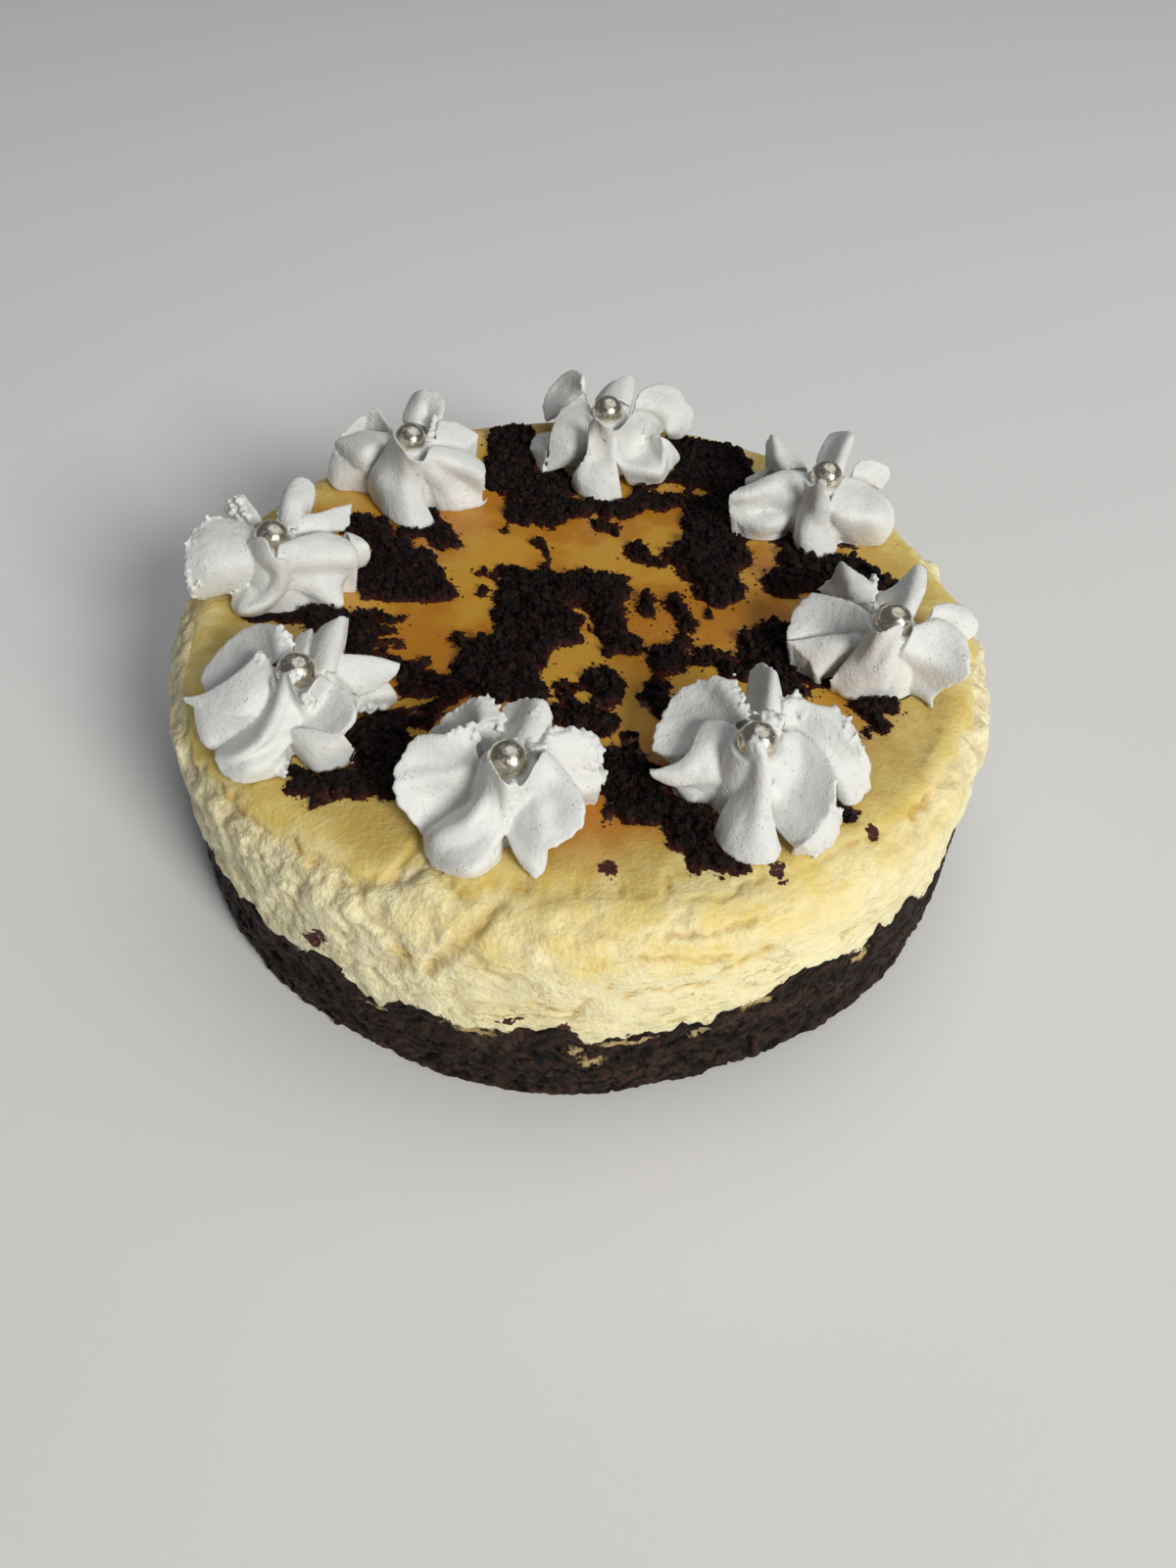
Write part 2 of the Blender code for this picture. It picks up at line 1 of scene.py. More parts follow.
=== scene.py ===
"""Looks of a six-inch cheesecake on a brownie base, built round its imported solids.

Lengths in the classes are millimetres in the frame of the solids: the origin is the middle of the
underside, +Z is up and -Y faces the viewer of the photograph. Mesh making turns them into metres.
"""

import logging
import math
from dataclasses import dataclass
from enum import Enum

import bpy
import numpy as np
from mathutils import Matrix


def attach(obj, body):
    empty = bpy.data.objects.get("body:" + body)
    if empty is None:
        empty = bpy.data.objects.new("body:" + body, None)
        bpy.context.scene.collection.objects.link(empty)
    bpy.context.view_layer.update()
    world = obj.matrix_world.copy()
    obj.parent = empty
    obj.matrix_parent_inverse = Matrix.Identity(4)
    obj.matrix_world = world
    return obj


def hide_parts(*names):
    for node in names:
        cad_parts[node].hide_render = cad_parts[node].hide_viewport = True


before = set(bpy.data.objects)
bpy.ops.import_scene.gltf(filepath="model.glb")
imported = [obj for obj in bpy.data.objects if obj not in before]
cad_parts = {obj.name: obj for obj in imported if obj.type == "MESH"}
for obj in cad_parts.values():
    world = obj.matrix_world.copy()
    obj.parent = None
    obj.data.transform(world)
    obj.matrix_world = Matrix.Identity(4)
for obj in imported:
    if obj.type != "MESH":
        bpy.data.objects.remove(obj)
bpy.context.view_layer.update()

logging.basicConfig(level=logging.INFO, format="%(message)s")
LOG = logging.getLogger("cheesecake")

Array = np.ndarray
Material = bpy.types.Material
Piece = bpy.types.Object
Colour = tuple[float, float, float]
Place = tuple[float, float, float]
MM = 0.001
TURN = 2.0 * math.pi


class Slot(Enum):
    """Material slots of the record that the pieces take their finish from."""

    BROWNIE = "brownie"
    CHEESE = "cheese"
    CREAM = "cream"
    SILVER = "silver_sugar"


def display(red: int, green: int, blue: int) -> Colour:
    """Linear colour from the 0 to 255 values that a display would show.

    Args:
        red, green, blue: display values.

    Returns:
        The same colour as linear light, 0 to 1.
    """
    shares = [value / 255.0 for value in (red, green, blue)]
    return tuple(share / 12.92 if share < 0.04045 else ((share + 0.055) / 1.055) ** 2.4 for share in shares)


def blend(first: Array | float, second: Array | float, share: Array | float) -> Array | float:
    """Straight mix: first at share 0, second at share 1."""
    return first + (second - first) * share


def ease(value: Array | float, low: float, high: float) -> Array | float:
    """Smooth step from 0 at low to 1 at high, with level ends."""
    share = np.clip((value - low) / (high - low), 0.0, 1.0)
    return share * share * (3.0 - 2.0 * share)


def limit(value: Array, start: float, room: float) -> Array:
    """Values above start eased so that they stay under start plus room."""
    return np.where(value > start, start + room * np.tanh((value - start) / room), value)


class Noise:
    """Seeded gradient noise and lump noise over points in millimetres."""

    def __init__(self, seed: int) -> None:
        """Draw the tables of the noise.

        Args:
            seed: the same seed gives the same noise in each run.
        """
        draw = np.random.default_rng(seed)
        self.order = draw.permutation(256)
        slopes = draw.normal(size=(256, 3))
        self.slopes = slopes / np.linalg.norm(slopes, axis=1, keepdims=True)
        self.spots = draw.random((256, 3))

    def pick(self, cells: Array) -> Array:
        """Table entry of each whole-number cell, hashed from its three coordinates."""
        wrapped = cells & 255
        first = self.order[wrapped[..., 0]]
        second = self.order[(first + wrapped[..., 1]) & 255]
        return self.order[(second + wrapped[..., 2]) & 255]

    def plain(self, points: Array, size: float) -> Array:
        """Gradient noise: the eased mix of the slopes at the eight corners of each point's cell.

        Args:
            points: places, one row each.
            size: width of a cell.

        Returns:
            Values of about -1 to 1.
        """
        scaled = points / size
        base = np.floor(scaled).astype(np.int64)
        inside = scaled - base
        eased = inside**3 * (inside * (inside * 6.0 - 15.0) + 10.0)
        total = np.zeros(len(points))
        for corner in np.ndindex(2, 2, 2):
            shift = np.array(corner)
            slope = self.slopes[self.pick(base + shift)]
            weight = np.prod(np.where(shift == 1, eased, 1.0 - eased), axis=1)
            total += weight * ((inside - shift) * slope).sum(axis=1)
        return total * 1.6

    def fractal(self, points: Array, size: float, octaves: int = 4) -> Array:
        """Sum of gradient noises, each at half the size and half the height of the one before."""
        total = np.zeros(len(points))
        for octave in range(octaves):
            total += self.plain(points + 17.3 * octave, size / 2**octave) / 2**octave
        return total

    def warp(self, points: Array, size: float, reach: float) -> Array:
        """Points moved by up to reach, each axis by a noise of its own."""
        shifts = [self.plain(points + offset, size) for offset in (31.7, 57.3, 83.9)]
        return points + reach * np.stack(shifts, axis=1)

    def lumps(self, points: Array, size: float) -> tuple[Array, Array]:
        """Rounded lumps: each scattered spot owns the places that are nearest to it.

        Args:
            points: places, one row each.
            size: mean width of a lump.

        Returns:
            The dome, 1 at a spot and falling with the distance, and the crease, 0 where lumps meet.
        """
        scaled = points / size
        base = np.floor(scaled).astype(np.int64)
        nearest = np.full(len(points), 9.0)
        second = np.full(len(points), 9.0)
        for shift in np.ndindex(3, 3, 3):
            cell = base + np.array(shift) - 1
            apart = np.linalg.norm(scaled - cell - self.spots[self.pick(cell)], axis=1)
            second = np.minimum(second, np.maximum(nearest, apart))
            nearest = np.minimum(nearest, apart)
        return 1.0 - nearest, second - nearest


class Value:
    """One output socket of a node tree, whose operators add Math nodes to the tree."""

    def __init__(self, tree: bpy.types.NodeTree, socket: bpy.types.NodeSocket) -> None:
        """Wrap a socket.

        Args:
            tree: the node tree that the socket is in.
            socket: the output socket.
        """
        self.tree = tree
        self.socket = socket

    def math(self, operation: str, first: "Value | float", second: "Value | float") -> "Value":
        """Result of a Math node of that operation on two values or numbers."""
        node = self.tree.nodes.new("ShaderNodeMath")
        node.operation = operation
        for place, given in zip(node.inputs, (first, second)):
            if isinstance(given, Value):
                self.tree.links.new(given.socket, place)
            else:
                place.default_value = given
        return Value(self.tree, node.outputs[0])

    def __add__(self, other: "Value | float") -> "Value":
        """Sum."""
        return self.math("ADD", self, other)

    def __radd__(self, other: float) -> "Value":
        """Sum, number first."""
        return self.math("ADD", other, self)

    def __sub__(self, other: "Value | float") -> "Value":
        """Difference."""
        return self.math("SUBTRACT", self, other)

    def __rsub__(self, other: float) -> "Value":
        """Difference, number first."""
        return self.math("SUBTRACT", other, self)

    def __mul__(self, other: "Value | float") -> "Value":
        """Product."""
        return self.math("MULTIPLY", self, other)

    def __rmul__(self, other: float) -> "Value":
        """Product, number first."""
        return self.math("MULTIPLY", other, self)


class Recipe:
    """The node tree of one material."""

    def __init__(self, name: str, **constants: float | Colour) -> None:
        """Start a Principled material.

        Args:
            name: the material's name.
            constants: values set on the shader's own sockets, with _ for each space of their names.
        """
        self.material = bpy.data.materials.new(name)
        self.material.use_nodes = True
        self.tree = self.material.node_tree
        self.surface = self.tree.nodes["Principled BSDF"]
        for socket, value in constants.items():
            self.feed(self.surface.inputs[socket.replace("_", " ")], value)
        self.place = self.node("ShaderNodeTexCoord", output="Object")

    def feed(self, socket: bpy.types.NodeSocket, value: "Value | float | Colour") -> None:
        """Link a value to an input socket, or set a constant on it."""
        if isinstance(value, Value):
            self.tree.links.new(value.socket, socket)
        elif socket.type == "RGBA":
            socket.default_value = (*value, 1.0)
        else:
            socket.default_value = value

    def node(
        self, kind: str, settings: dict | None = None, inputs: dict | None = None, output: int | str = 0
    ) -> Value:
        """Add any node.

        Args:
            kind: the node's type.
            settings: its properties, set before its sockets.
            inputs: values or links of its sockets, by name or number.
            output: the socket to return.

        Returns:
            The chosen output.
        """
        made = self.tree.nodes.new(kind)
        for name, value in (settings or {}).items():
            setattr(made, name, value)
        for name, value in (inputs or {}).items():
            self.feed(made.inputs[name], value)
        return Value(self.tree, made.outputs[output])

    def noise(self, size: float, detail: float = 3.0, stretch: Place | None = None) -> Value:
        """Noise texture on Object coordinates.

        Args:
            size: width of its blotches in millimetres.
            detail: number of finer octaves.
            stretch: factors on the three axes, more than 1 for narrower blotches.

        Returns:
            A value of about 0.3 to 0.7 round 0.5.
        """
        place = self.place
        if stretch:
            place = self.node("ShaderNodeMapping", inputs={"Vector": place, "Scale": stretch})
        inputs = {"Vector": place, "Scale": 1.0 / (size * MM), "Detail": detail}
        return self.node("ShaderNodeTexNoise", inputs=inputs)

    def cells(self, size: float) -> Value:
        """Distance to the nearest of scattered spots that are about size millimetres apart."""
        return self.node("ShaderNodeTexVoronoi", inputs={"Vector": self.place, "Scale": 1.0 / (size * MM)})

    def step(self, value: Value, low: float, high: float) -> Value:
        """Smooth step of a value from 0 at low to 1 at high."""
        inputs = {"Value": value, "From Min": low, "From Max": high}
        return self.node("ShaderNodeMapRange", {"interpolation_type": "SMOOTHSTEP"}, inputs)

    def mix(self, share: Value | float, first: Value | Colour, second: Value | Colour) -> Value:
        """Colour mix: first at share 0, second at share 1."""
        return self.node("ShaderNodeMix", {"data_type": "RGBA"}, {0: share, 6: first, 7: second}, 2)

    def mark(self, name: str) -> Value:
        """A value that the mesh carries at its points."""
        return self.node("ShaderNodeAttribute", {"attribute_name": name}, output="Fac")

    def finish(self, colour: Value, roughness: Value | float, relief: Value, depth: float) -> Material:
        """Feed the shader.

        Args:
            colour: base colour.
            roughness: roughness.
            relief: height of the fine relief, 0 to 1.
            depth: height of the relief in millimetres where its value is 1.

        Returns:
            The material.
        """
        inputs = {"Height": relief, "Distance": depth * MM}
        bump = self.node("ShaderNodeBump", inputs=inputs, output="Normal")
        self.feed(self.surface.inputs["Base Color"], colour)
        self.feed(self.surface.inputs["Roughness"], roughness)
        self.feed(self.surface.inputs["Normal"], bump)
        return self.material


@dataclass(frozen=True)
class BrownieFinish:
    """Dark porous brownie: pores and creases painted near black as shade, brown crests, pale dusty patches
    that also paint a sheen, a moist sheen in places, cheese smears.
    """

    pore: Colour = display(4, 2, 2)
    lit_crest: Colour = display(66, 43, 29)
    dusty_sheen: Colour = display(88, 68, 56)
    smear: Colour = display(190, 166, 114)

    def material(self) -> Material:
        """Make the material; it reads the lit crest mark, which paints shade into pores and creases, and the
        smear mark of the mesh.
        """
        recipe = Recipe("brownie_crumb", Specular_IOR_Level=0.2)
        fine = recipe.noise(0.9, 5.0)
        # Painted shade: pores and creases are darkened toward the pore colour and crests lightened, from the
        # lit crest mark.
        lit_crest = recipe.step(recipe.mark("lit_crest"), 0.35, 0.85) * 0.65 + recipe.step(fine, 0.5, 0.64) * 0.45
        colour = recipe.mix(lit_crest, self.pore, self.lit_crest)
        # Pale patches: dusty spots that also paint a sheen on the crumb.
        pale = recipe.step(recipe.noise(9.0, 4.0), 0.5, 0.7)
        pale = pale * recipe.step(recipe.noise(1.4, 4.0), 0.45, 0.62)
        colour = recipe.mix(pale * 0.6, colour, self.dusty_sheen)
        shade = recipe.step(recipe.noise(6.0, 5.0), 0.42, 0.58)
        colour = recipe.mix(shade * 0.55, colour, self.pore)
        ragged = recipe.mark("smear") + (recipe.noise(1.4, 5.0) - 0.5) * 1.8
        colour = recipe.mix(recipe.step(ragged, 0.45, 0.85) * 0.9, colour, self.smear)
        roughness = 0.42 + recipe.noise(2.0, 4.0) * 0.5
        return recipe.finish(colour, roughness, fine * 0.6 + recipe.cells(0.8) * 0.5, 0.6)


@dataclass(frozen=True)
class CheeseFinish:
    """Baked cheese: pale curd at the wall, yellow at the shoulder, a golden skin on the top, a darker band
    near the skin's end that is partly baked tone and partly painted shade, and painted shade in creases and
    cracks.
    """

    pale: Colour = display(250, 238, 190)
    warm: Colour = display(244, 227, 158)
    shoulder: Colour = display(236, 208, 104)
    baked_shade: Colour = display(202, 170, 86)
    gold: Colour = display(206, 154, 54)
    orange: Colour = display(188, 124, 32)
    curd: Colour = display(251, 242, 202)
    crease_shade: Colour = display(194, 174, 120)
    stain: Colour = display(206, 168, 66)
    dust: Colour = display(70, 24, 10)

    def material(self) -> Material:
        """Make the material; it reads the mesh's marks skin, yolk, flat (a baked tone and painted shade),
        torn, the crease mark of painted shade, stain and dust.
        """
        recipe = Recipe(
            "baked_cheese", IOR=1.42,
            Subsurface_Weight=0.25, Subsurface_Scale=0.004, Subsurface_Radius=(1.0, 0.62, 0.3),
        )
        broad = recipe.noise(12.0, 4.0)
        small = recipe.noise(2.4, 4.0, (1.0, 1.0, 3.0))
        fine = recipe.noise(0.8, 4.0)
        colour = recipe.mix(recipe.step(broad * 0.6 + small * 0.4, 0.42, 0.62) * 0.6, self.pale, self.warm)
        level = recipe.noise(9.0, 4.0, (1.0, 1.0, 3.5))
        streak = recipe.step(level * 0.7 + small * 0.3, 0.36, 0.62)
        colour = recipe.mix(recipe.mark("yolk") * (0.45 + streak * 0.5), colour, self.shoulder)
        # Band before the skin's end: a darker baked tone that also paints the shade on the top there.
        colour = recipe.mix(recipe.mark("flat") * (0.4 + streak * 0.3 + broad * 0.5), colour, self.baked_shade)
        colour = recipe.mix(recipe.mark("torn") * (0.4 + fine * 0.9), colour, self.curd)
        skin = recipe.mark("skin")
        thin_line = 1.0 - recipe.step((level - 0.5) * (level - 0.5), 0.00001, 0.00025)
        crack = thin_line * recipe.step(broad, 0.46, 0.56) * (1.0 - recipe.mark("torn"))
        crack = crack * (1.0 - skin) * (1.0 - recipe.mark("yolk"))
        colour = recipe.mix(crack * 0.45, colour, self.stain)
        golden = recipe.mix(recipe.step(recipe.noise(16.0, 3.0), 0.42, 0.6), self.gold, self.orange)
        colour = recipe.mix(skin, colour, golden)
        # Painted shade: creases between curd lumps, cracks and the skin's step are darkened.
        colour = recipe.mix(recipe.mark("crease_shade"), colour, self.crease_shade)
        colour = recipe.mix(recipe.mark("stain"), colour, self.stain)
        ragged = recipe.mark("dust") + (fine - 0.5) * 1.6
        colour = recipe.mix(recipe.step(ragged, 0.5, 0.72), colour, self.dust)
        roughness = 0.6 - skin * 0.2 - recipe.mark("yolk") * 0.18 + (small - 0.5) * 0.4
        relief = small * 0.4 + fine * 0.35 + recipe.mark("torn") * fine * 0.5 - crack * 0.5
        return recipe.finish(colour, roughness, relief * (1.0 - skin * 0.75), 0.7)


@dataclass(frozen=True)
class CrumbFinish:
    """Crumbled brownie: near black, brown in places, and red-brown where it lies thin."""

    dark: Colour = display(6, 3, 3)
    light: Colour = display(48, 27, 19)
    thin: Colour = display(84, 32, 18)

    def material(self) -> Material:
        """Make the material; it reads the marks tone, one value for each crumb, and thin."""
        recipe = Recipe("brownie_crumbs", Specular_IOR_Level=0.18)
        fine = recipe.noise(0.6, 4.0)
        shade = recipe.mark("tone") * 0.6 + recipe.step(fine, 0.45, 0.7) * 0.3
        colour = recipe.mix(shade, self.dark, self.light)
        colour = recipe.mix(recipe.mark("thin") * recipe.step(fine, 0.3, 0.6), colour, self.thin)
        return recipe.finish(colour, 0.5 + recipe.noise(1.5) * 0.4, fine, 0.35)


@dataclass(frozen=True)
class CreamFinish:
    """Whipped cream: slightly cool white, with fine bubbles and a soft sheen."""

    white: Colour = display(230, 231, 226)
    cool: Colour = display(216, 218, 217)

    def material(self) -> Material:
        """Make the material."""
        recipe = Recipe(
            "whipped_cream", IOR=1.4,
            Subsurface_Weight=0.12, Subsurface_Scale=0.002, Subsurface_Radius=(1.0, 0.9, 0.8),
        )
        pits = 1.0 - recipe.step(recipe.cells(0.8), 0.06, 0.3)
        sparse = pits * recipe.step(recipe.noise(2.0), 0.5, 0.6)
        colour = recipe.mix(recipe.step(recipe.noise(5.0), 0.4, 0.65) * 0.6, self.white, self.cool)
        relief = recipe.noise(1.8, 6.0) * 0.8 + recipe.noise(0.5, 3.0) * 0.35 - sparse * 0.45
        return recipe.finish(colour, 0.42 + recipe.noise(1.5) * 0.2, relief, 0.34)


@dataclass(frozen=True)
class SilverFinish:
    """Silver-coated sugar: warm metal, a little rough and mottled where the sugar shows through."""

    bright: Colour = display(232, 224, 207)
    worn: Colour = display(176, 164, 144)

    def material(self) -> Material:
        """Make the material."""
        recipe = Recipe("silver_sugar_coat")
        spots = recipe.step(recipe.noise(0.9, 4.0), 0.52, 0.62)
        colour = recipe.mix(spots * 0.7, self.bright, self.worn)
        recipe.feed(recipe.surface.inputs["Metallic"], 1.0 - spots * 0.35)
        return recipe.finish(colour, 0.22 + spots * 0.2, recipe.noise(0.7, 3.0), 0.06)


@dataclass(frozen=True)
class FloorFinish:
    """Plain pale studio floor."""

    pale: Colour = display(246, 246, 244)

    def material(self) -> Material:
        """Make the material."""
        recipe = Recipe("studio_floor")
        colour = recipe.mix(recipe.noise(400.0) * 0.3, self.pale, (0.7, 0.7, 0.7))
        return recipe.finish(colour, 0.6, recipe.noise(60.0), 0.05)


def grid_quads(rows: int, columns: int, around: bool = False) -> Array:
    """Quads between neighbouring points of a grid that is stored row by row.

    Args:
        rows, columns: size of the grid.
        around: whether the last column joins the first.

    Returns:
        Four point numbers for each quad.
    """
    across = columns if around else columns - 1
    row, column = np.meshgrid(np.arange(rows - 1), np.arange(across), indexing="ij")
    start, end = row * columns + column, row * columns + (column + 1) % columns
    return np.stack((start, end, end + columns, start + columns), axis=-1).reshape(-1, 4)


def slab_quads(rows: int, columns: int) -> Array:
    """Quads of a closed slab: an upper grid, a lower grid of the same size, and walls along the border."""
    count = rows * columns
    upper = grid_quads(rows, columns)
    number = np.arange(count).reshape(rows, columns)
    border = np.concatenate([number[0, :-1], number[:-1, -1], number[-1, :0:-1], number[:0:-1, 0]])
    after = np.roll(border, -1)
    wall = np.stack([border, border + count, after + count, after], axis=-1)
    return np.concatenate([upper, upper[:, ::-1] + count, wall])


def show(name: str, data: bpy.types.ID) -> Piece:
    """Put a mesh, lamp or camera in the scene as an object."""
    item = bpy.data.objects.new(name, data)
    bpy.context.scene.collection.objects.link(item)
    return item


def make_piece(
    name: str, points: Array, faces: tuple[Array, ...], material: Material | None,
    marks: dict[str, Array] | None = None, smooth: bool = True,
) -> Piece:
    """A mesh object at the origin from points in millimetres.

    Args:
        name: the piece's name.
        points: one row each.
        faces: arrays of point numbers, each array with faces of one number of corners.
        material: its finish.
        marks: values at the points, by name, for the finish to read.
        smooth: whether its faces are shaded smooth.

    Returns:
        The object.
    """
    mesh = bpy.data.meshes.new(name)
    sizes = np.concatenate([np.full(len(group), group.shape[1]) for group in faces])
    corners = np.concatenate([group.ravel() for group in faces])
    mesh.vertices.add(len(points))
    mesh.vertices.foreach_set("co", (points * MM).ravel())
    mesh.loops.add(len(corners))
    mesh.loops.foreach_set("vertex_index", corners)
    mesh.polygons.add(len(sizes))
    mesh.polygons.foreach_set("loop_start", np.cumsum(sizes) - sizes)
    mesh.polygons.foreach_set("use_smooth", np.full(len(sizes), smooth))
    mesh.update(calc_edges=True)
    for mark, values in (marks or {}).items():
        mesh.attributes.new(mark, "FLOAT", "POINT").data.foreach_set("value", values.astype(np.float32))
    if material:
        mesh.materials.append(material)
    return show(name, mesh)


def enrol(piece: Piece, node: str) -> None:
    """Tie a finished piece to the frame and report it.

    Args:
        piece: the object.
        node: the CAD node that it stands for.
    """
    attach(piece, "root")
    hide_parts(node)
    LOG.info("piece %s: %d faces, for %s", piece.name, len(piece.data.polygons), node)


def path_distance(points: Array, path: Array) -> Array:
    """Distance from each point to the nearest of the straight runs of a path."""
    best = np.full(len(points), np.inf)
    for start, end in zip(path[:-1], path[1:]):
        run = end - start
        share = np.clip(((points - start) @ run) / (run @ run), 0.0, 1.0)
        best = np.minimum(best, np.linalg.norm(points - start - share[:, None] * run, axis=1))
    return best


def stroke_depth(points: Array, stroke: tuple) -> Array:
    """How far inside a level stroke each point is: its half-width less the distance from its line."""
    x_start, y_start, x_end, y_end, half_width = stroke
    path = np.array([(x_start, y_start, 0.0), (x_end + 0.01, y_end, 0.0)])
    return half_width - path_distance(points, path)


# Height of the brownie's upper edge round the wall: azimuth in degrees, height
EDGE_HEIGHTS = (
    (-180, 19.5), (-172, 20.6), (-165, 20.3), (-158, 19), (-150, 18.4), (-145, 19.3), (-141, 18.8),
    (-136, 19.4), (-132, 18), (-129.5, 18.4), (-127, 19.6), (-124.5, 20.2), (-122, 22.4), (-120, 23),
    (-118, 19.6), (-116, 16.4), (-114, 15.4), (-112.2, 16.2), (-110.5, 18.8), (-108, 19.8),
    (-105.5, 18.8), (-103, 17.8), (-100, 18.4), (-97, 18.2), (-95, 18.8), (-92.5, 19.4), (-90.5, 20.6),
    (-89.2, 21), (-88.3, 18.4), (-87, 16.2), (-85.6, 17), (-84, 17.5), (-80, 17.6), (-77, 18.4),
    (-75.5, 19.2), (-74, 17.6), (-72.2, 17.4), (-70, 20), (-65, 22), (-62, 23.5), (-60, 25), (-57, 24),
    (-55, 23), (-52, 22), (-50, 21), (-48.6, 22.4), (-47.4, 24.4), (-46, 21.4), (-43, 22), (-41, 24),
    (-38, 21), (-35, 17.5), (-28, 19.5), (-20, 20.2), (-12, 18.8), (0, 19.4), (12, 20.8), (25, 19.2),
    (40, 21), (55, 19), (68, 20.3), (80, 19.4), (95, 21), (110, 19.2), (122, 20.4), (135, 19.6),
    (150, 20.8), (165, 19.2), (180, 19.5),
)

# Where the golden skin ends: azimuth, distance from the top's middle along the surface
SKIN_EDGE = (
    (-180, 71), (-165, 71.5), (-150, 73), (-141, 73.5), (-136, 73.5), (-133, 72.5), (-130, 72), (-127, 71.3),
    (-124, 71.7), (-122, 70.9), (-119, 71.1), (-116, 71.3), (-113.5, 70.8), (-112, 69.2), (-111, 66),
    (-109, 64.5), (-106.6, 65.5), (-103, 68.9), (-100.5, 67.6), (-99, 66.2), (-97, 65.4), (-94, 65.3),
    (-91, 64.5), (-88, 64.8), (-83, 65.2), (-80.3, 67.1), (-78.8, 67.9), (-77.4, 66.7), (-76.3, 64.3),
    (-73, 63), (-71, 63.9), (-68, 65.5), (-60, 69), (-45, 70.5), (-20, 71.5), (10, 71), (40, 73), (70, 72),
    (100, 76), (130, 73), (155, 76), (180, 74),
)

# Radius that the golden colour reaches, by azimuth
GOLD_REACH = ((-180, 50), (-150, 50), (-125, 54), (-105, 58), (-90, 61), (-76, 60), (-62, 56), (-35, 59),
              (-22, 58), (-10, 56), (20, 60), (40, 58), (90, 62), (120, 62), (145, 64), (165, 60), (180, 50))

# How torn the wall is, by azimuth
TORN_WALL = ((-180, 0.8), (-168, 0.9), (-160, 1), (-112, 1), (-104, 0.55), (-96, 0.3), (-60, 0.2),
             (-40, 0.6), (-15, 1), (20, 0.7), (60, 0.8), (100, 0.4), (140, 0.8), (180, 0.8))

# Bulges and hollows of the foot of the wall: azimuth, half-width in degrees, outward shift
FOOT_SWELLS = ((-95, 14, 0.7), (-69, 14, -1.2), (-116, 10, -0.7), (20, 25, 0.6), (120, 30, -0.8))


@dataclass(frozen=True)
class CakeForm:
    """Sizes that the layers share."""

    radius: float = 76.0
    height: float = 42.5
    base_height: float = 20.0
    shoulder: float = 8.5

    @property
    def flat_radius(self) -> float:
        """Radius of the flat top inside the shoulder."""
        return self.radius - self.shoulder

    def read_round(self, table: tuple, azimuth: Array) -> Array:
        """Value of a table of (azimuth, value) at each azimuth in degrees, straight between its rows."""
        places, values = np.array(table, dtype=float).T
        return np.interp((azimuth + 180.0) % 360.0 - 180.0, places, values)

    def seam(self, azimuth: Array, noise: Noise) -> Array:
        """Height of the brownie's edge: the table, roughened by fractals of 4 and 1.6 mm along the wall."""
        angle = np.radians(azimuth)
        places = self.radius * np.column_stack([np.cos(angle), np.sin(angle), np.zeros_like(angle)])
        edge = self.read_round(EDGE_HEIGHTS, azimuth) + 0.9 * noise.fractal(places, 4.0, 3)
        return edge + noise.fractal(places, 1.6, 2)

    def hold_in(self, points: Array) -> Array:
        """Points with their distance from the axis eased so that it stays under the radius and a half."""
        distance = np.maximum(np.hypot(points[:, 0], points[:, 1]), 1e-6)
        held = limit(distance, self.radius - 0.4, 0.9) / distance
        return np.column_stack([points[:, :2] * held[:, None], points[:, 2]])

    def foot_shift(self, azimuth: Array) -> Array:
        """Outward shift of the foot of the wall: a bell curve for each swell."""
        shift = np.zeros_like(azimuth)
        for middle, half_width, depth in FOOT_SWELLS:
            turned = (azimuth - middle + 180.0) % 360.0 - 180.0
            shift += depth * np.exp(-((turned / half_width) ** 2))
        return shift

    def revolve(self, radius: Array, height: Array, push: tuple[Array, Array]) -> tuple[Array, Array]:
        """Points and outward directions of a grid of rings, one ring a row.

        Args:
            radius, height: of each grid point.
            push: outward direction in the profile, as radial and vertical shares for each row.

        Returns:
            Points and directions, one row each, ring after ring.
        """
        columns = radius.shape[1]
        angle = -math.pi + TURN * np.arange(columns) / columns
        points = np.stack([radius * np.cos(angle), radius * np.sin(angle), height], axis=-1)
        flat, rise = push[0][:, None], np.repeat(push[1][:, None], columns, axis=1)
        outward = np.stack([flat * np.cos(angle), flat * np.sin(angle), rise], axis=-1)
        return points.reshape(-1, 3), outward.reshape(-1, 3)

    def raise_rings(self, rows: list[tuple], columns: int) -> tuple[Array, Array, Array]:
        """The plain surface of a layer from its profile.

        Args:
            rows: one for each ring: radius, height, outward direction and strength of the relief.
            columns: points in each ring.

        Returns:
            Points, outward directions and strengths, ring after ring.
        """
        radius = np.stack([np.broadcast_to(row[0], columns) for row in rows])
        height = np.stack([np.broadcast_to(row[1], columns) for row in rows])
        push = np.array([row[2] for row in rows]).T
        points, outward = self.revolve(radius, height, (push[0], push[1]))
        return points, outward, np.repeat([row[3] for row in rows], columns)

    def close_poles(self, points: Array, rows: int, columns: int) -> tuple[Array, tuple[Array, Array]]:
        """Close a stack of rings with one point in the middle of the first and of the last.

        Args:
            points: ring after ring.
            rows, columns: number of rings and of points in each.

        Returns:
            The points with both poles added, and the faces.
        """
        poles = np.stack([points[:columns].mean(axis=0), points[-columns:].mean(axis=0)])
        number = np.arange(columns)
        after = (number + 1) % columns
        low = np.stack([np.full(columns, rows * columns), after, number], axis=-1)
        last = (rows - 1) * columns
        high = np.stack([last + number, last + after, np.full(columns, rows * columns + 1)], axis=-1)
        return np.concatenate([points, poles]), (grid_quads(rows, columns, True), np.concatenate([low, high]))


@dataclass(frozen=True)
class Smear:
    """A smear of cheese on the brownie's wall: middle and half-sizes, in degrees and millimetres."""

    azimuth: float
    height: float
    half_turn: float
    half_height: float


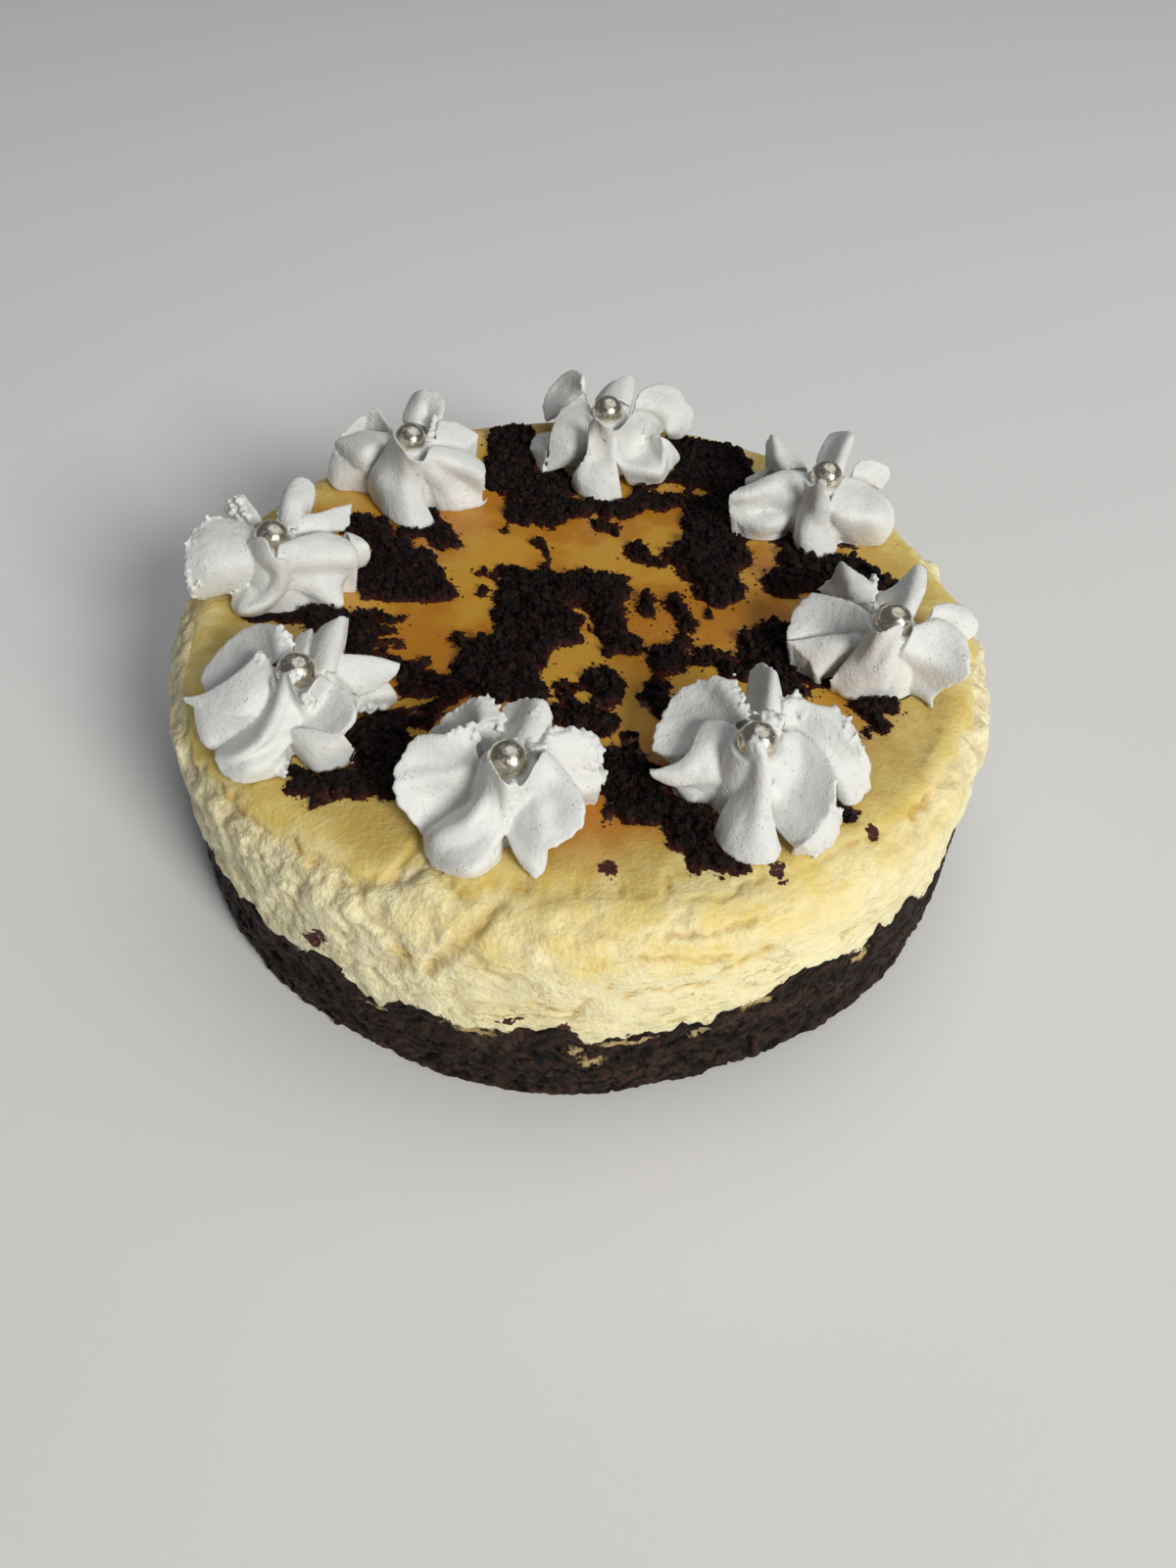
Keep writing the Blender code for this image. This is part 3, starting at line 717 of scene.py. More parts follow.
@dataclass(frozen=True)
class BrownieBase:
    """The brownie layer round the foot of the cake, with a porous wall."""

    form: CakeForm
    noise: Noise
    columns: int = 900
    wall_rows: int = 34
    smears: tuple[Smear, ...] = (
        Smear(-101, 17.4, 4.5, 1.3), Smear(-88.6, 14.2, 1.2, 2), Smear(-86.4, 11.2, 1.9, 1.7),
        Smear(-73.2, 16, 2.4, 1.4), Smear(-114, 14.4, 2, 1), Smear(-66, 20.3, 3, 1.2),
        Smear(-82, 16.4, 4, 0.9), Smear(-50, 19, 2, 1.2), Smear(150, 18.6, 6, 1.3),
        Smear(60, 17.6, 5, 1.4),
    )

    def build(self, material: Material) -> Piece:
        """Build the layer: rings along the underside, up the wall and in under the cheese.

        The wall's relief is a sum of lump noises of 4 mm and 1.7 mm and a fine fractal, with pores
        where a fractal of 2.4 mm is low. It fades toward the underside.
        """
        azimuth = -180.0 + 360.0 * np.arange(self.columns) / self.columns
        edge = self.form.seam(azimuth, self.noise)
        foot = self.form.foot_shift(azimuth)
        full = self.form.radius
        rows = [(radius, 0.0, (0.0, -1.0), 0.0) for radius in (20.0, 45.0, 62.0, 71.0)]
        rows += [(full - 1.3 + foot, 0.0, (0.3, -0.7), 0.2), (full - 0.5 + foot, 0.35, (0.8, -0.3), 0.6)]
        rows += [(full + foot * (1.0 - share), edge * share, (1.0, 0.0), 1.0)
                 for share in np.linspace(0.05, 1.0, self.wall_rows)]
        rows += [(full - 0.9, edge + 0.6, (0.7, 0.7), 0.7), (full - 2.5, edge + 0.5, (0.0, 1.0), 0.3)]
        rows += [(radius, blend(self.form.base_height, edge, share), (0.0, 1.0), 0.0)
                 for radius, share in ((72.0, 0.9), (66.0, 0.4), (58.0, 0.0), (30.0, 0.0))]
        points, outward, power = self.form.raise_rings(rows, self.columns)
        relief, lit_crest = self.relief(points)
        points = self.form.hold_in(points + outward * (relief * power)[:, None])
        points[:, 2] = np.maximum(points[:, 2], 0.0)
        smear = self.smear_mark(points)
        points, faces = self.form.close_poles(points, len(rows), self.columns)
        marks = {"lit_crest": np.append(lit_crest, (0.5, 0.5)), "smear": np.append(smear, (0.0, 0.0))}
        return make_piece("brownie_wall", points, faces, material, marks)

    def relief(self, points: Array) -> tuple[Array, Array]:
        """Height of the porous relief and its lit crest mark, at each point: the mark paints shade in pores
        and in creases between lumps.
        """
        coarse, _ = self.noise.lumps(self.noise.warp(points, 5.0, 1.2), 4.0)
        small, crease = self.noise.lumps(self.noise.warp(points, 2.0, 0.5), 1.7)
        fine = self.noise.fractal(points, 1.6, 3)
        pore = ease(-self.noise.fractal(points, 2.4, 3), 0.35, 0.75)
        height = 0.9 * (coarse - 0.55) + 0.7 * (small - 0.5) + 0.35 * fine - 1.2 * pore
        height += 0.6 * self.noise.plain(points, 9.0)
        # Lit crest mark: painted shade, low in pores and in creases between lumps, high on crests.
        lit_crest = 0.5 + 0.9 * (small - 0.5) + 0.35 * fine - pore + 0.3 * ease(crease, 0.0, 0.4)
        return height, np.clip(lit_crest, 0.0, 1.0)

    def smear_mark(self, points: Array) -> Array:
        """Mark of the cheese smears: 1 in the middle of each and 0 outside its oval."""
        azimuth = np.degrees(np.arctan2(points[:, 1], points[:, 0]))
        mark = np.zeros(len(points))
        for smear in self.smears:
            turned = (azimuth - smear.azimuth + 180.0) % 360.0 - 180.0
            oval = (turned / smear.half_turn) ** 2 + ((points[:, 2] - smear.height) / smear.half_height) ** 2
            mark = np.maximum(mark, np.exp(-oval))
        return mark


@dataclass(frozen=True)
class Furrow:
    """A crack or crease of the cheese along a path, with how much it is tinted yellow."""

    path: tuple
    width: float
    depth: float
    tint: float = 0.6

    def bell(self, points: Array) -> Array:
        """1 on the path, falling with the distance from it as exp(-(distance / width)**2)."""
        return np.exp(-((path_distance(points, np.array(self.path)) / self.width) ** 2))


@dataclass(frozen=True)
class Spot:
    """A small mark of the cheese: its place, radius, and how deep it is pressed in."""

    place: Place
    radius: float
    depth: float = 0.0

    def bell(self, points: Array) -> Array:
        """1 at the place, falling with the distance from it as exp(-(distance / radius)**2)."""
        return np.exp(-((np.linalg.norm(points - np.array(self.place), axis=1) / self.radius) ** 2))


FURROWS = (
    Furrow(((-20.8, -73.1, 30.5), (-17.7, -73.8, 35.5), (-15.3, -73.4, 38), (-12.7, -71.8, 40.5),
            (-10.2, -69.1, 42.2)), 1.3, 1.1, 0.5),
    Furrow(((-13.5, -74.6, 37), (-11.8, -75.1, 34.1), (-9.1, -75.4, 31.8)), 1, 0.5, 0.2),
    Furrow(((14.9, -71.9, 40.1), (19.1, -71.3, 39.7), (22.7, -70.3, 39.4), (24.6, -69.4, 39.9),
            (27.8, -68.3, 39.8)), 0.5, 0.7, 0.8),
    Furrow(((13.2, -74.8, 30.8), (16.1, -74.3, 29.6), (18.8, -73.6, 29.8),
            (21.7, -72.8, 29.5)), 0.45, 0.6, 0.9),
    Furrow(((24.2, -72.1, 32.4), (26.5, -71.2, 33.4), (28.8, -70.3, 34.3),
            (30.3, -69.6, 35.1)), 0.6, 0.6, 0.9),
    Furrow(((-4.6, -75.9, 26.4), (-2, -76, 26.1), (0.4, -76, 25.6), (2, -76, 24.6),
            (3.5, -75.9, 28.9)), 0.7, 0.7, 0.3),
    Furrow(((63.6, -18.3, 42.5), (62.5, -21.8, 42.5), (61.5, -25.6, 42.5), (59.6, -29.9, 42.5),
            (56.9, -34.6, 42.5)), 0.9, 0.6, 0.4),
    Furrow(((57.4, -42.8, 41.5), (56.5, -44.2, 41.4), (54.3, -46.5, 41.5)), 0.7, 0.5, 1),
    Furrow(((-4.1, -68.7, 42.4), (-1.1, -66.9, 42.5), (2, -65.5, 42.5)), 0.6, 0.5, 0.7),
    Furrow(((18.7, -66.7, 42.3), (22.6, -65.9, 42.2), (26.7, -62.4, 42.5),
            (29.5, -61.2, 42.5)), 0.6, 0.4, 0.5),
    Furrow(((35, -63, 37), (42, -59, 37.5), (48, -54, 38.5)), 0.5, 0.35, 0.4),
    Furrow(((-15.5, -67, 42.1), (-10.9, -65.1, 42.5), (-5.7, -65.3, 42.5), (4.2, -64.4, 42.5),
            (9.5, -65.7, 42.5), (12.9, -66.4, 42.4), (15.8, -62, 42.5), (18.8, -60.6, 42.5)), 0.6, 0.5, 0.9),
    Furrow(((9.7, -73.8, 37.8), (16.6, -73.2, 36.8), (24, -71.7, 35.3)), 0.6, 0.4, 0.7),
    Furrow(((-37, -63.5, 39.1), (-31.4, -65.1, 40.2), (-26.3, -64.4, 41.9),
            (-23.3, -58.5, 42.5)), 0.9, 0.8, 0.5),
    Furrow(((37.2, -58.3, 42), (43.8, -54, 41.9), (48.9, -51, 41.4)), 0.6, 0.4, 0.8),
)

YELLOW_SPOTS = (
    Spot((57.4, -42.8, 41.5), 1.3, 1), Spot((61, -27.5, 42.5), 0.8, 0.9), Spot((30, -69.8, 34.9), 1.6, 0.5),
    Spot((-24.5, -71.9, 32.5), 2.2, 0.8), Spot((-23.8, -72.2, 32.4), 1.5, 0.4),
    Spot((-54.2, -48.3, 40.8), 1, 0.7), Spot((-52.5, -51, 40.3), 0.8, 0.4),
    Spot((-42, -59.3, 40.7), 0.9, 0.5), Spot((-39.8, -61.5, 40.2), 0.9, 0.6),
    Spot((9.8, -75.4, 29.2), 0.8, 0.2), Spot((6.9, -75.7, 32.6), 0.7, 0.2), Spot((-15, -62, 42.5), 1.5, 0),
)

DUST_SPOTS = (
    Spot((6.1, -61.6, 42.5), 1.9), Spot((47.5, -51.4, 42.1), 1.5), Spot((31.8, -60.2, 42.5), 1.3),
    Spot((32.1, -62.1, 42.2), 0.8), Spot((60.6, -27.9, 42.5), 0.6), Spot((-40.5, -64.3, 25.5), 2.2),
    Spot((-10.3, -75.3, 21), 0.9), Spot((-8.6, -75.5, 21.3), 1), Spot((-6.9, -75.7, 21.8), 0.9),
    Spot((0.2, -76, 20.7), 1.5), Spot((1.6, -76, 18.8), 1.3), Spot((53.4, -54.1, 18.6), 1.5),
    Spot((-38.6, -65.4, 28.6), 1.5), Spot((-2.5, -76, 31.3), 0.3), Spot((-54.5, -48, 40.8), 0.4),
)


@dataclass(frozen=True)
class CheeseLayer:
    """The baked cheese layer, from the brownie up over a rounded shoulder to the golden top."""

    form: CakeForm
    noise: Noise
    columns: int = 900
    wall_rows: int = 38
    shoulder_rows: int = 30
    top_rows: int = 30

    def build(self, material: Material, dust: "CrumbPatches") -> Piece:
        """Build the layer.

        Args:
            material: its finish.
            dust: the crumb patches, whose dust stains the cheese round them.

        Returns:
            The piece.
        """
        form = self.form
        azimuth = -180.0 + 360.0 * np.arange(self.columns) / self.columns
        edge = form.seam(azimuth, self.noise)
        start = form.height - form.shoulder
        rows = [(radius, blend(form.base_height, edge, share) + 0.3, (0.0, -1.0), 0.0)
                for radius, share in ((25.0, 0.0), (55.0, 0.0), (68.0, 0.5), (73.5, 1.0))]
        rows += [(form.radius - 0.8, edge - 0.5, (0.7, -0.4), 0.5)]
        rows += [(form.radius, blend(edge, start, share), (1.0, 0.0), 1.0)
                 for share in np.linspace(0.0, 1.0, self.wall_rows)]
        for turn in np.linspace(0.0, 0.5 * math.pi, self.shoulder_rows + 1)[1:]:
            push = (math.cos(turn), math.sin(turn))
            radius = form.flat_radius + form.shoulder * push[0]
            rows.append((radius, start + form.shoulder * push[1], push, 1.0))
        rows += [(form.flat_radius * (1.0 - share) + 0.6, form.height, (0.0, 1.0), 1.0)
                 for share in np.linspace(0.0, 1.0, self.top_rows + 1)[1:]]
        points, outward, power = form.raise_rings(rows, self.columns)
        relief, marks = self.relief(points, self.surface_reach(points), dust)
        points = form.hold_in(points + outward * (relief * power)[:, None])
        points, faces = form.close_poles(points, len(rows), self.columns)
        marks = {name: np.append(values, (0.0, values[-1])) for name, values in marks.items()}
        return make_piece("cheese_curd", points, faces, material, marks)

    def surface_reach(self, points: Array) -> Array:
        """Distance from the top's middle along the surface: over the flat, the shoulder and the wall."""
        form = self.form
        radius = np.hypot(points[:, 0], points[:, 1])
        start = form.height - form.shoulder
        turn = np.arccos(np.clip((points[:, 2] - start) / form.shoulder, 0.0, 1.0))
        beyond = form.flat_radius + form.shoulder * turn + np.maximum(0.0, start - points[:, 2])
        return np.where(radius < form.flat_radius, radius, beyond)

    def relief(self, points: Array, reach: Array, dust: "CrumbPatches") -> tuple[Array, dict[str, Array]]:
        """Height of the relief and the finish marks at each point.

        The torn wall is a sum of lump noises of 6 and 3 mm and a crumbly fractal of 4 mm, with the
        finer two weak wherever a fractal of 13 mm is low. The smooth wall is a low fractal, flattened
        so that its folds run level. The skin ends in a small step down, and furrows and pits are bell
        curves round their paths. A crease mark paints shade at the step, in the furrows and between
        curd lumps, and a flat mark before the skin's end paints a baked tone and shade.

        Args:
            points: places on the plain surface.
            reach: their distance from the top's middle along the surface.
            dust: the crumb patches.

        Returns:
            The height and the marks by name.
        """
        form, noise = self.form, self.noise
        azimuth = np.degrees(np.arctan2(points[:, 1], points[:, 0]))
        radius = np.hypot(points[:, 0], points[:, 1])
        wander = noise.fractal(points, 7.0, 4)
        aside = ease(np.abs(azimuth + 100.0), 34.0, 50.0)
        skin_end = form.read_round(SKIN_EDGE, azimuth) + 0.9 * noise.fractal(points, 4.0, 3)
        skin_end += 2.2 * aside * noise.fractal(points, 9.0, 3)
        past = reach - skin_end
        wall = ease(past, -0.5, 2.5)
        tear = form.read_round(TORN_WALL, azimuth)
        torn = wall * np.clip(tear + 0.35 * wander, 0.0, 1.0)

        large, crease = noise.lumps(noise.warp(points, 5.0, 2.4), 6.0)
        middle, _ = noise.lumps(noise.warp(points, 3.0, 1.3), 3.0)
        crumbly = noise.fractal(points, 4.0, 5)
        rough = ease(noise.fractal(points, 13.0, 2), -0.35, 0.2)
        curd = 1.5 * (large - 0.5) + blend(0.3, 0.65, rough) * (middle - 0.5)
        curd += blend(0.6, 1.2, rough) * crumbly
        level = points * np.array((1.0, 1.0, 3.4))
        folds = 0.4 * noise.fractal(level, 11.0, 4) + 0.15 * np.abs(noise.fractal(level, 5.0, 3)) * wall
        top = 0.35 * noise.plain(points, 26.0) + 0.12 * noise.plain(points, 8.0)
        height = torn * curd + blend(top, folds, wall) + 0.7 * wall * noise.plain(points, 14.0)

        step_power = np.clip(tear * 0.5 + 0.6, 0.0, 1.0) * (1.0 - 0.5 * aside)
        height -= step_power * 0.8 * ease(past, 0.0, 0.7) * np.exp(-np.maximum(past, 0.0) / 5.0)
        lip = step_power * np.exp(-((past - 0.5) / 0.55) ** 2)

        # Painted shade at the skin's step, in the cracks and in the creases and hollows of the torn curd; it
        # darkens the colour there.
        crease_shade = 0.35 * lip
        stain = 0.25 * lip * ease(wander, -0.2, 0.5)
        shaken = noise.warp(points, 2.2, 0.9)
        for crack in FURROWS:
            bell = crack.bell(shaken)
            height -= crack.depth * bell
            crease_shade = np.maximum(crease_shade, 0.55 * bell * (1.0 - 0.6 * crack.tint))
            stain = np.maximum(stain, 0.85 * crack.tint * bell)
        for spot in YELLOW_SPOTS:
            bell = spot.bell(shaken)
            height -= spot.depth * bell
            stain = np.maximum(stain, 0.8 * bell)
        # Painted shade where curd lumps meet and in the crumbly hollows.
        meeting = torn * 0.4 * (1.0 - ease(crease, 0.0, 0.2)) * ease(wander, -0.3, 0.4)
        crease_shade = np.maximum(crease_shade, meeting)
        crease_shade = np.maximum(crease_shade, torn * 0.45 * ease(-crumbly, 0.1, 0.5))

        gold_end = form.read_round(GOLD_REACH, azimuth) + 5.0 * wander
        skin = (1.0 - ease(radius, gold_end - 8.0, gold_end + 5.0)) * (1.0 - wall)
        yolk = (1.0 - ease(reach + 3.0 * wander, 74.0, 84.0)) * 0.9
        depth = dust.depth(points[:, :2])
        spread = ease(depth + 0.4 * wander, -1.1, 0.3) * (reach < form.flat_radius)
        for spot in DUST_SPOTS:
            spread = np.maximum(spread, 1.3 * spot.bell(shaken))
        above = points[:, 2] - form.read_round(EDGE_HEIGHTS, azimuth)
        seam = np.exp(-np.maximum(above, 0.0) / 1.1) * (radius > 70.0) * (0.55 + 0.5 * wander)
        # Band before the skin's end, for a darker baked tone that also paints shade on the top.
        flat = (1.0 - ease(past + 3.0 * wander, -7.0, 1.0)) * 0.95
        marks = {"skin": skin, "yolk": yolk, "flat": flat, "torn": torn, "crease_shade": crease_shade, "stain": stain}
        return height, {**marks, "dust": np.maximum(spread, seam)}


# Crumbled brownie on the top: each patch is a straight stroke (x, y) to (x, y) with a half-width
CRUMB_STROKES = (
    (-18, 62, -17.5, 44, 5.3), (-17, 44, -12, 38, 5), (-12, 44, -6, 42, 4), (-8, 48, -5, 44, 2.5),
    (-14, 31, -8, 30.5, 3.4), (-14, 35, -4, 34, 2.8), (-4, 34.8, 8, 34.8, 2.6), (6, 36, 18, 38.8, 2.4),
    (10.5, 39, 12.5, 46, 2.2), (12, 46.8, 19, 48, 1.8), (25, 62, 27, 50, 8.6), (27, 50, 27, 36, 6.4),
    (27, 36, 26.5, 28, 6.6), (24, 30, 24, 28, 4.8), (22, 20, 27, 20, 5.8), (24, 14, 26, 9, 4.8),
    (24.5, 8, 25.5, 6, 2.6), (10.2, 21, 10.6, 18.6, 2.1), (12.5, 17.2, 15, 16.8, 1.2),
    (40, 28, 45, 24, 3.4), (43, 20, 49, 17, 5), (38, 12, 42, 13, 3.6), (39, 9, 38.5, 9, 2),
    (46, 13, 54, 13, 4), (51, 27, 53, 26, 1.4), (52, 19, 59, 12.5, 2), (62.5, 28, 63.5, 28, 1.2),
    (-12, 7, 3.5, 7, 4.9), (-8, 12, -8, 13.6, 0.8), (-16, 12, -13.5, 12.2, 0.9), (-2, 12, 0.5, 12.2, 0.8),
    (4, 11.5, 7.5, 11.5, 0.8), (-19.5, 10.8, -17.5, 10.5, 0.9), (-19.3, 5.6, -18.6, 4.2, 0.9),
    (-9.5, 1, -9, -6, 6.8), (-15, -1.5, -15, -3, 1.8), (-15, -14, -14, -20, 6.4), (-17.5, -15, -18, -21, 5),
    (-12, -10, -10, -13, 4.6), (-10, -20, -9, -23, 4), (4.5, 0.5, 5.5, -3, 3), (5, -5, 8, -8.5, 3),
    (9, -10, 5, -10.5, 1.5), (-3, -2, -3, -7, 2.8), (3.6, -19, 5, -21.5, 3.5), (-3.5, -21, 0, -20.5, 0.9),
    (-2.5, -23, -1, -26, 1.5), (0, -28.5, 4, -30, 3.3), (-4, -27, -3, -30, 1.4), (8, -33, 9, -32, 0.9),
    (15.5, -13, 16, -12, 3.5), (13.5, -20, 13, -23, 2.3), (15, -24, 15, -26, 2), (21, -12, 29, -12.5, 2),
    (22, -9.6, 24, -10, 0.9), (18, -7, 18.5, -6.5, 1.7), (27, -14.5, 40, -15, 2.6), (33, -8, 36, -4, 4),
    (36, -12, 42, -14, 4), (38, -19, 36, -18, 2.3), (34.5, -1.5, 37, -3, 1.4), (30.5, -5.5, 31, -4.5, 1.2),
    (12, 1, 12, 4.6, 1.3), (17.3, 4.5, 19.5, -2.5, 1.6), (23.5, 1.5, 23.5, 0.5, 0.5),
    (2.5, 28.5, 5, 27.3, 1.4), (1.7, 29.5, 2, 28.5, 0.8), (-9.3, 22, -7.6, 17.8, 0.8),
    (-16.5, 26, -16.6, 25.3, 0.6), (-28.5, -16, -27.2, -16.6, 0.7), (-22.3, -8.5, -21.8, -10, 1.2),
    (-46, 25, -42, 24, 3.2), (-42, 20.5, -38, 18, 2.4), (-39, 14, -33, 14, 3.6), (-39, 8, -31, 7.5, 5.2),
    (-28, 6, -26, 4, 2), (-38, 3, -27, 3.2, 1.7), (-41.5, 6, -40, 3, 2), (-38, 18, -37, 16, 3.2),
    (-33.5, 35, -29, 20.5, 1.9), (-30, 25, -28, 21, 2.5), (-36, 23, -32, 24, 1.8), (-59, -3.5, -50, -3, 3),
    (-54, 0.5, -46, -3.5, 2.6), (-48, -6, -44, -6, 3), (-60, -5.5, -56, -4.5, 1.5),
    (-40, -5, -39, -14, 2.9), (-37, -4.3, -33, -4.4, 0.8), (-37, -7.8, -35, -7.8, 0.8),
    (-37, -10.6, -33, -10.8, 0.8), (-36, -13.6, -34.5, -14, 0.8), (-34, -15.5, -30, -17.5, 0.8),
    (-30, -19, -24, -22.5, 2.4), (-30, -23, -28, -24, 1.5), (-24, -21, -20, -21.5, 2.1),
    (-24, -27, -20.5, -24.5, 1.2), (-27, -29.5, -24, -28, 1.4), (-33, -30.5, -25, -31, 1.8),
    (-33, -35, -29, -44, 5), (-38, -46, -34, -46.5, 3), (-44, -47, -40, -47, 2.2),
    (-46.5, -51, -45.5, -50, 0.8), (-40, -50.3, -40, -50.8, 0.8), (-30, -47, -28, -46, 2.3),
    (-45, -44, -43, -45, 1.5), (5, -38, 10, -38, 2), (8, -43, 14, -46, 5.3), (8, -49, 13, -49.5, 3),
    (18, -50, 20, -55, 4), (20, -58, 25, -59, 2.5), (16.5, -56, 17.5, -57, 1.4), (8.6, -36.5, 9, -36, 1.1),
    (42.5, -47.5, 45, -50, 1.6), (49, -23, 53, -22.5, 2.1), (50.5, -26, 51.5, -27.5, 1.8),
    (49.5, -29, 49, -30, 0.7),
)

# Bare cheese inside the patches, as strokes of the same kind
BARE_STROKES = (
    (14.6, 41.8, 17.5, 43, 2.2), (23.4, 42.6, 23.8, 41.8, 1.6), (0.8, -3, 0.6, -9, 0.7),
    (-37, 21.5, -29.5, 16.8, 0.5), (-19.5, -24.6, -17.5, -26.2, 1.1), (-31, -26.5, -27.5, -29, 1.6),
    (2, 31.8, 2, 32, 1), (-3, -22.8, -4.5, -24.8, 0.6), (-12, 1.6, -11.6, 1.2, 0.4),
    (-39, -9.3, -35, -9.2, 0.4), (28.6, -13, 28.2, -13.2, 0.5), (20.4, -11, 20.6, -12, 0.5),
)


def octahedron(splits: int) -> tuple[Array, Array]:
    """A round lump of few faces: an octahedron whose faces are split in four, splits times."""
    points = np.array([(1, 0, 0), (0, 1, 0), (-1, 0, 0), (0, -1, 0), (0, 0, 1), (0, 0, -1)], dtype=float)
    faces = np.array([(0, 1, 4), (1, 2, 4), (2, 3, 4), (3, 0, 4), (1, 0, 5), (2, 1, 5), (3, 2, 5), (0, 3, 5)])
    for _ in range(splits):
        sides = np.sort(np.concatenate([faces[:, (0, 1)], faces[:, (1, 2)], faces[:, (2, 0)]]), axis=1)
        unique, place = np.unique(sides, axis=0, return_inverse=True)
        middles = points[unique].mean(axis=1)
        middles /= np.linalg.norm(middles, axis=1, keepdims=True)
        first, second, third = (len(points) + place.reshape(3, -1))
        points = np.concatenate([points, middles])
        faces = np.concatenate([
            np.stack([faces[:, 0], first, third], axis=1), np.stack([first, faces[:, 1], second], axis=1),
            np.stack([third, second, faces[:, 2]], axis=1), np.stack([first, second, third], axis=1),
        ])
    return points, faces


@dataclass(frozen=True)
class CrumbPatches:
    """Where the crumbled brownie lies on the top, and its heap of crumbs."""

    form: CakeForm
    noise: Noise
    pitch: float = 0.42
    heap_height: float = 1.5

    def depth(self, plan: Array) -> Array:
        """How far inside a crumb patch each plan point is, negative outside, with ragged borders."""
        places = np.column_stack([plan, np.zeros(len(plan))])
        shaken = self.noise.warp(places, 3.0, 0.7) * np.array((1.0, 1.0, 0.0))
        best = np.full(len(plan), -50.0)
        for stroke in CRUMB_STROKES:
            best = np.maximum(best, stroke_depth(shaken, stroke))
        for stroke in BARE_STROKES:
            best = np.minimum(best, -stroke_depth(shaken, stroke))
        return best + self.noise.fractal(places, 1.9, 4)

    def heap(self, plan: Array) -> Array:
        """Height of the crumb bed over the top: it rises inside a patch and sinks out of sight outside."""
        places = np.column_stack([plan, np.zeros(len(plan))])
        depth = self.depth(plan)
        rise = np.clip(depth * 0.8, -1.0, self.heap_height)
        dome, _ = self.noise.lumps(self.noise.warp(places, 2.0, 0.5), 1.2)
        inside = ease(depth, -0.5, 1.2)
        return rise + inside * (0.9 * (dome - 0.45) + 0.7 * self.noise.fractal(places, 2.6, 4))

    def bed(self, material: Material, covered: "Cover") -> Piece:
        """The closed bed of crumbs: the cells of a plan grid that lie in a patch, from below the top up.

        Args:
            material: its finish.
            covered: where the flowers stand, under which the bed stays low.

        Returns:
            The piece.
        """
        span = int(2 * self.form.flat_radius / self.pitch)
        line = (np.arange(span) - 0.5 * (span - 1)) * self.pitch
        x, y = np.meshgrid(line, line)
        plan = np.column_stack([x.ravel(), y.ravel()])
        height = self.heap(plan)
        height = np.where(covered.over(plan), np.minimum(height, 0.1), height)
        keep = (self.depth(plan) > -1.2) & (np.hypot(plan[:, 0], plan[:, 1]) < self.form.flat_radius - 0.5)
        keep = keep.reshape(span, span)
        cell = keep[:-1, :-1] & keep[1:, :-1] & keep[:-1, 1:] & keep[1:, 1:]
        upper = np.column_stack([plan, self.form.height + height])
        lower = np.column_stack([plan, np.full(len(plan), self.form.height - 1.6)])
        count = len(plan)
        quads = grid_quads(span, span)[cell.ravel()]
        sides = np.concatenate([quads[:, (0, 1)], quads[:, (1, 2)], quads[:, (2, 3)], quads[:, (3, 0)]])
        shared = np.isin(sides[:, 0] * count + sides[:, 1], sides[:, 1] * count + sides[:, 0])
        rim = sides[~shared]
        wall = np.stack([rim[:, 1], rim[:, 0], rim[:, 0] + count, rim[:, 1] + count], axis=1)
        faces = np.concatenate([quads, quads[:, ::-1] + count, wall])
        used, faces = np.unique(faces, return_inverse=True)
        points = np.concatenate([upper, lower])[used]
        tone = np.clip(0.3 + 0.5 * self.noise.fractal(points, 1.4, 3), 0.0, 1.0)
        marks = {"tone": tone, "thin": self.thinness(points[:, :2])}
        return make_piece("crumb_bed", points, (faces.reshape(-1, 4),), material, marks)

    def thinness(self, plan: Array) -> Array:
        """How thinly the crumbs lie at each plan point: 1 at the border of a patch, 0 well inside."""
        return 0.8 * (1.0 - ease(self.depth(plan), -0.4, 1.1))

    def scatter(
        self, name: str, count: int, splits: int, sizes: tuple[float, float], border: float,
        material: Material, covered: "Cover", draw: np.random.Generator,
    ) -> Piece:
        """Loose crumbs: knocked-about round lumps, turned and sized at random, lying on the bed.

        Args:
            name: the piece's name.
            count: how many places are tried.
            splits: fineness of each lump.
            sizes: least and greatest radius.
            border: how far outside a patch crumbs may lie, as a negative depth.
            material: their finish.
            covered: where the flowers stand.
            draw: source of the random draws.

        Returns:
            The piece.
        """
        plan = draw.uniform(-self.form.flat_radius, self.form.flat_radius, (count, 2))
        depth = self.depth(plan)
        chance = np.where(depth > 0.0, 1.0, np.exp(depth / 0.6) * 0.5)
        keep = (depth > border) & (draw.random(count) < chance) & ~covered.over(plan)
        keep &= np.hypot(plan[:, 0], plan[:, 1]) < self.form.flat_radius - 1.0
        plan = plan[keep]
        radius = sizes[0] + (sizes[1] - sizes[0]) * draw.random(len(plan)) ** 2.2
        heap = np.maximum(self.heap(plan), -0.2)
        height = self.form.height + heap + radius * draw.uniform(-0.2, 0.5, len(plan))
        centre = np.column_stack([plan, height])
        return self.lumps(name, centre, radius, splits, material, draw)

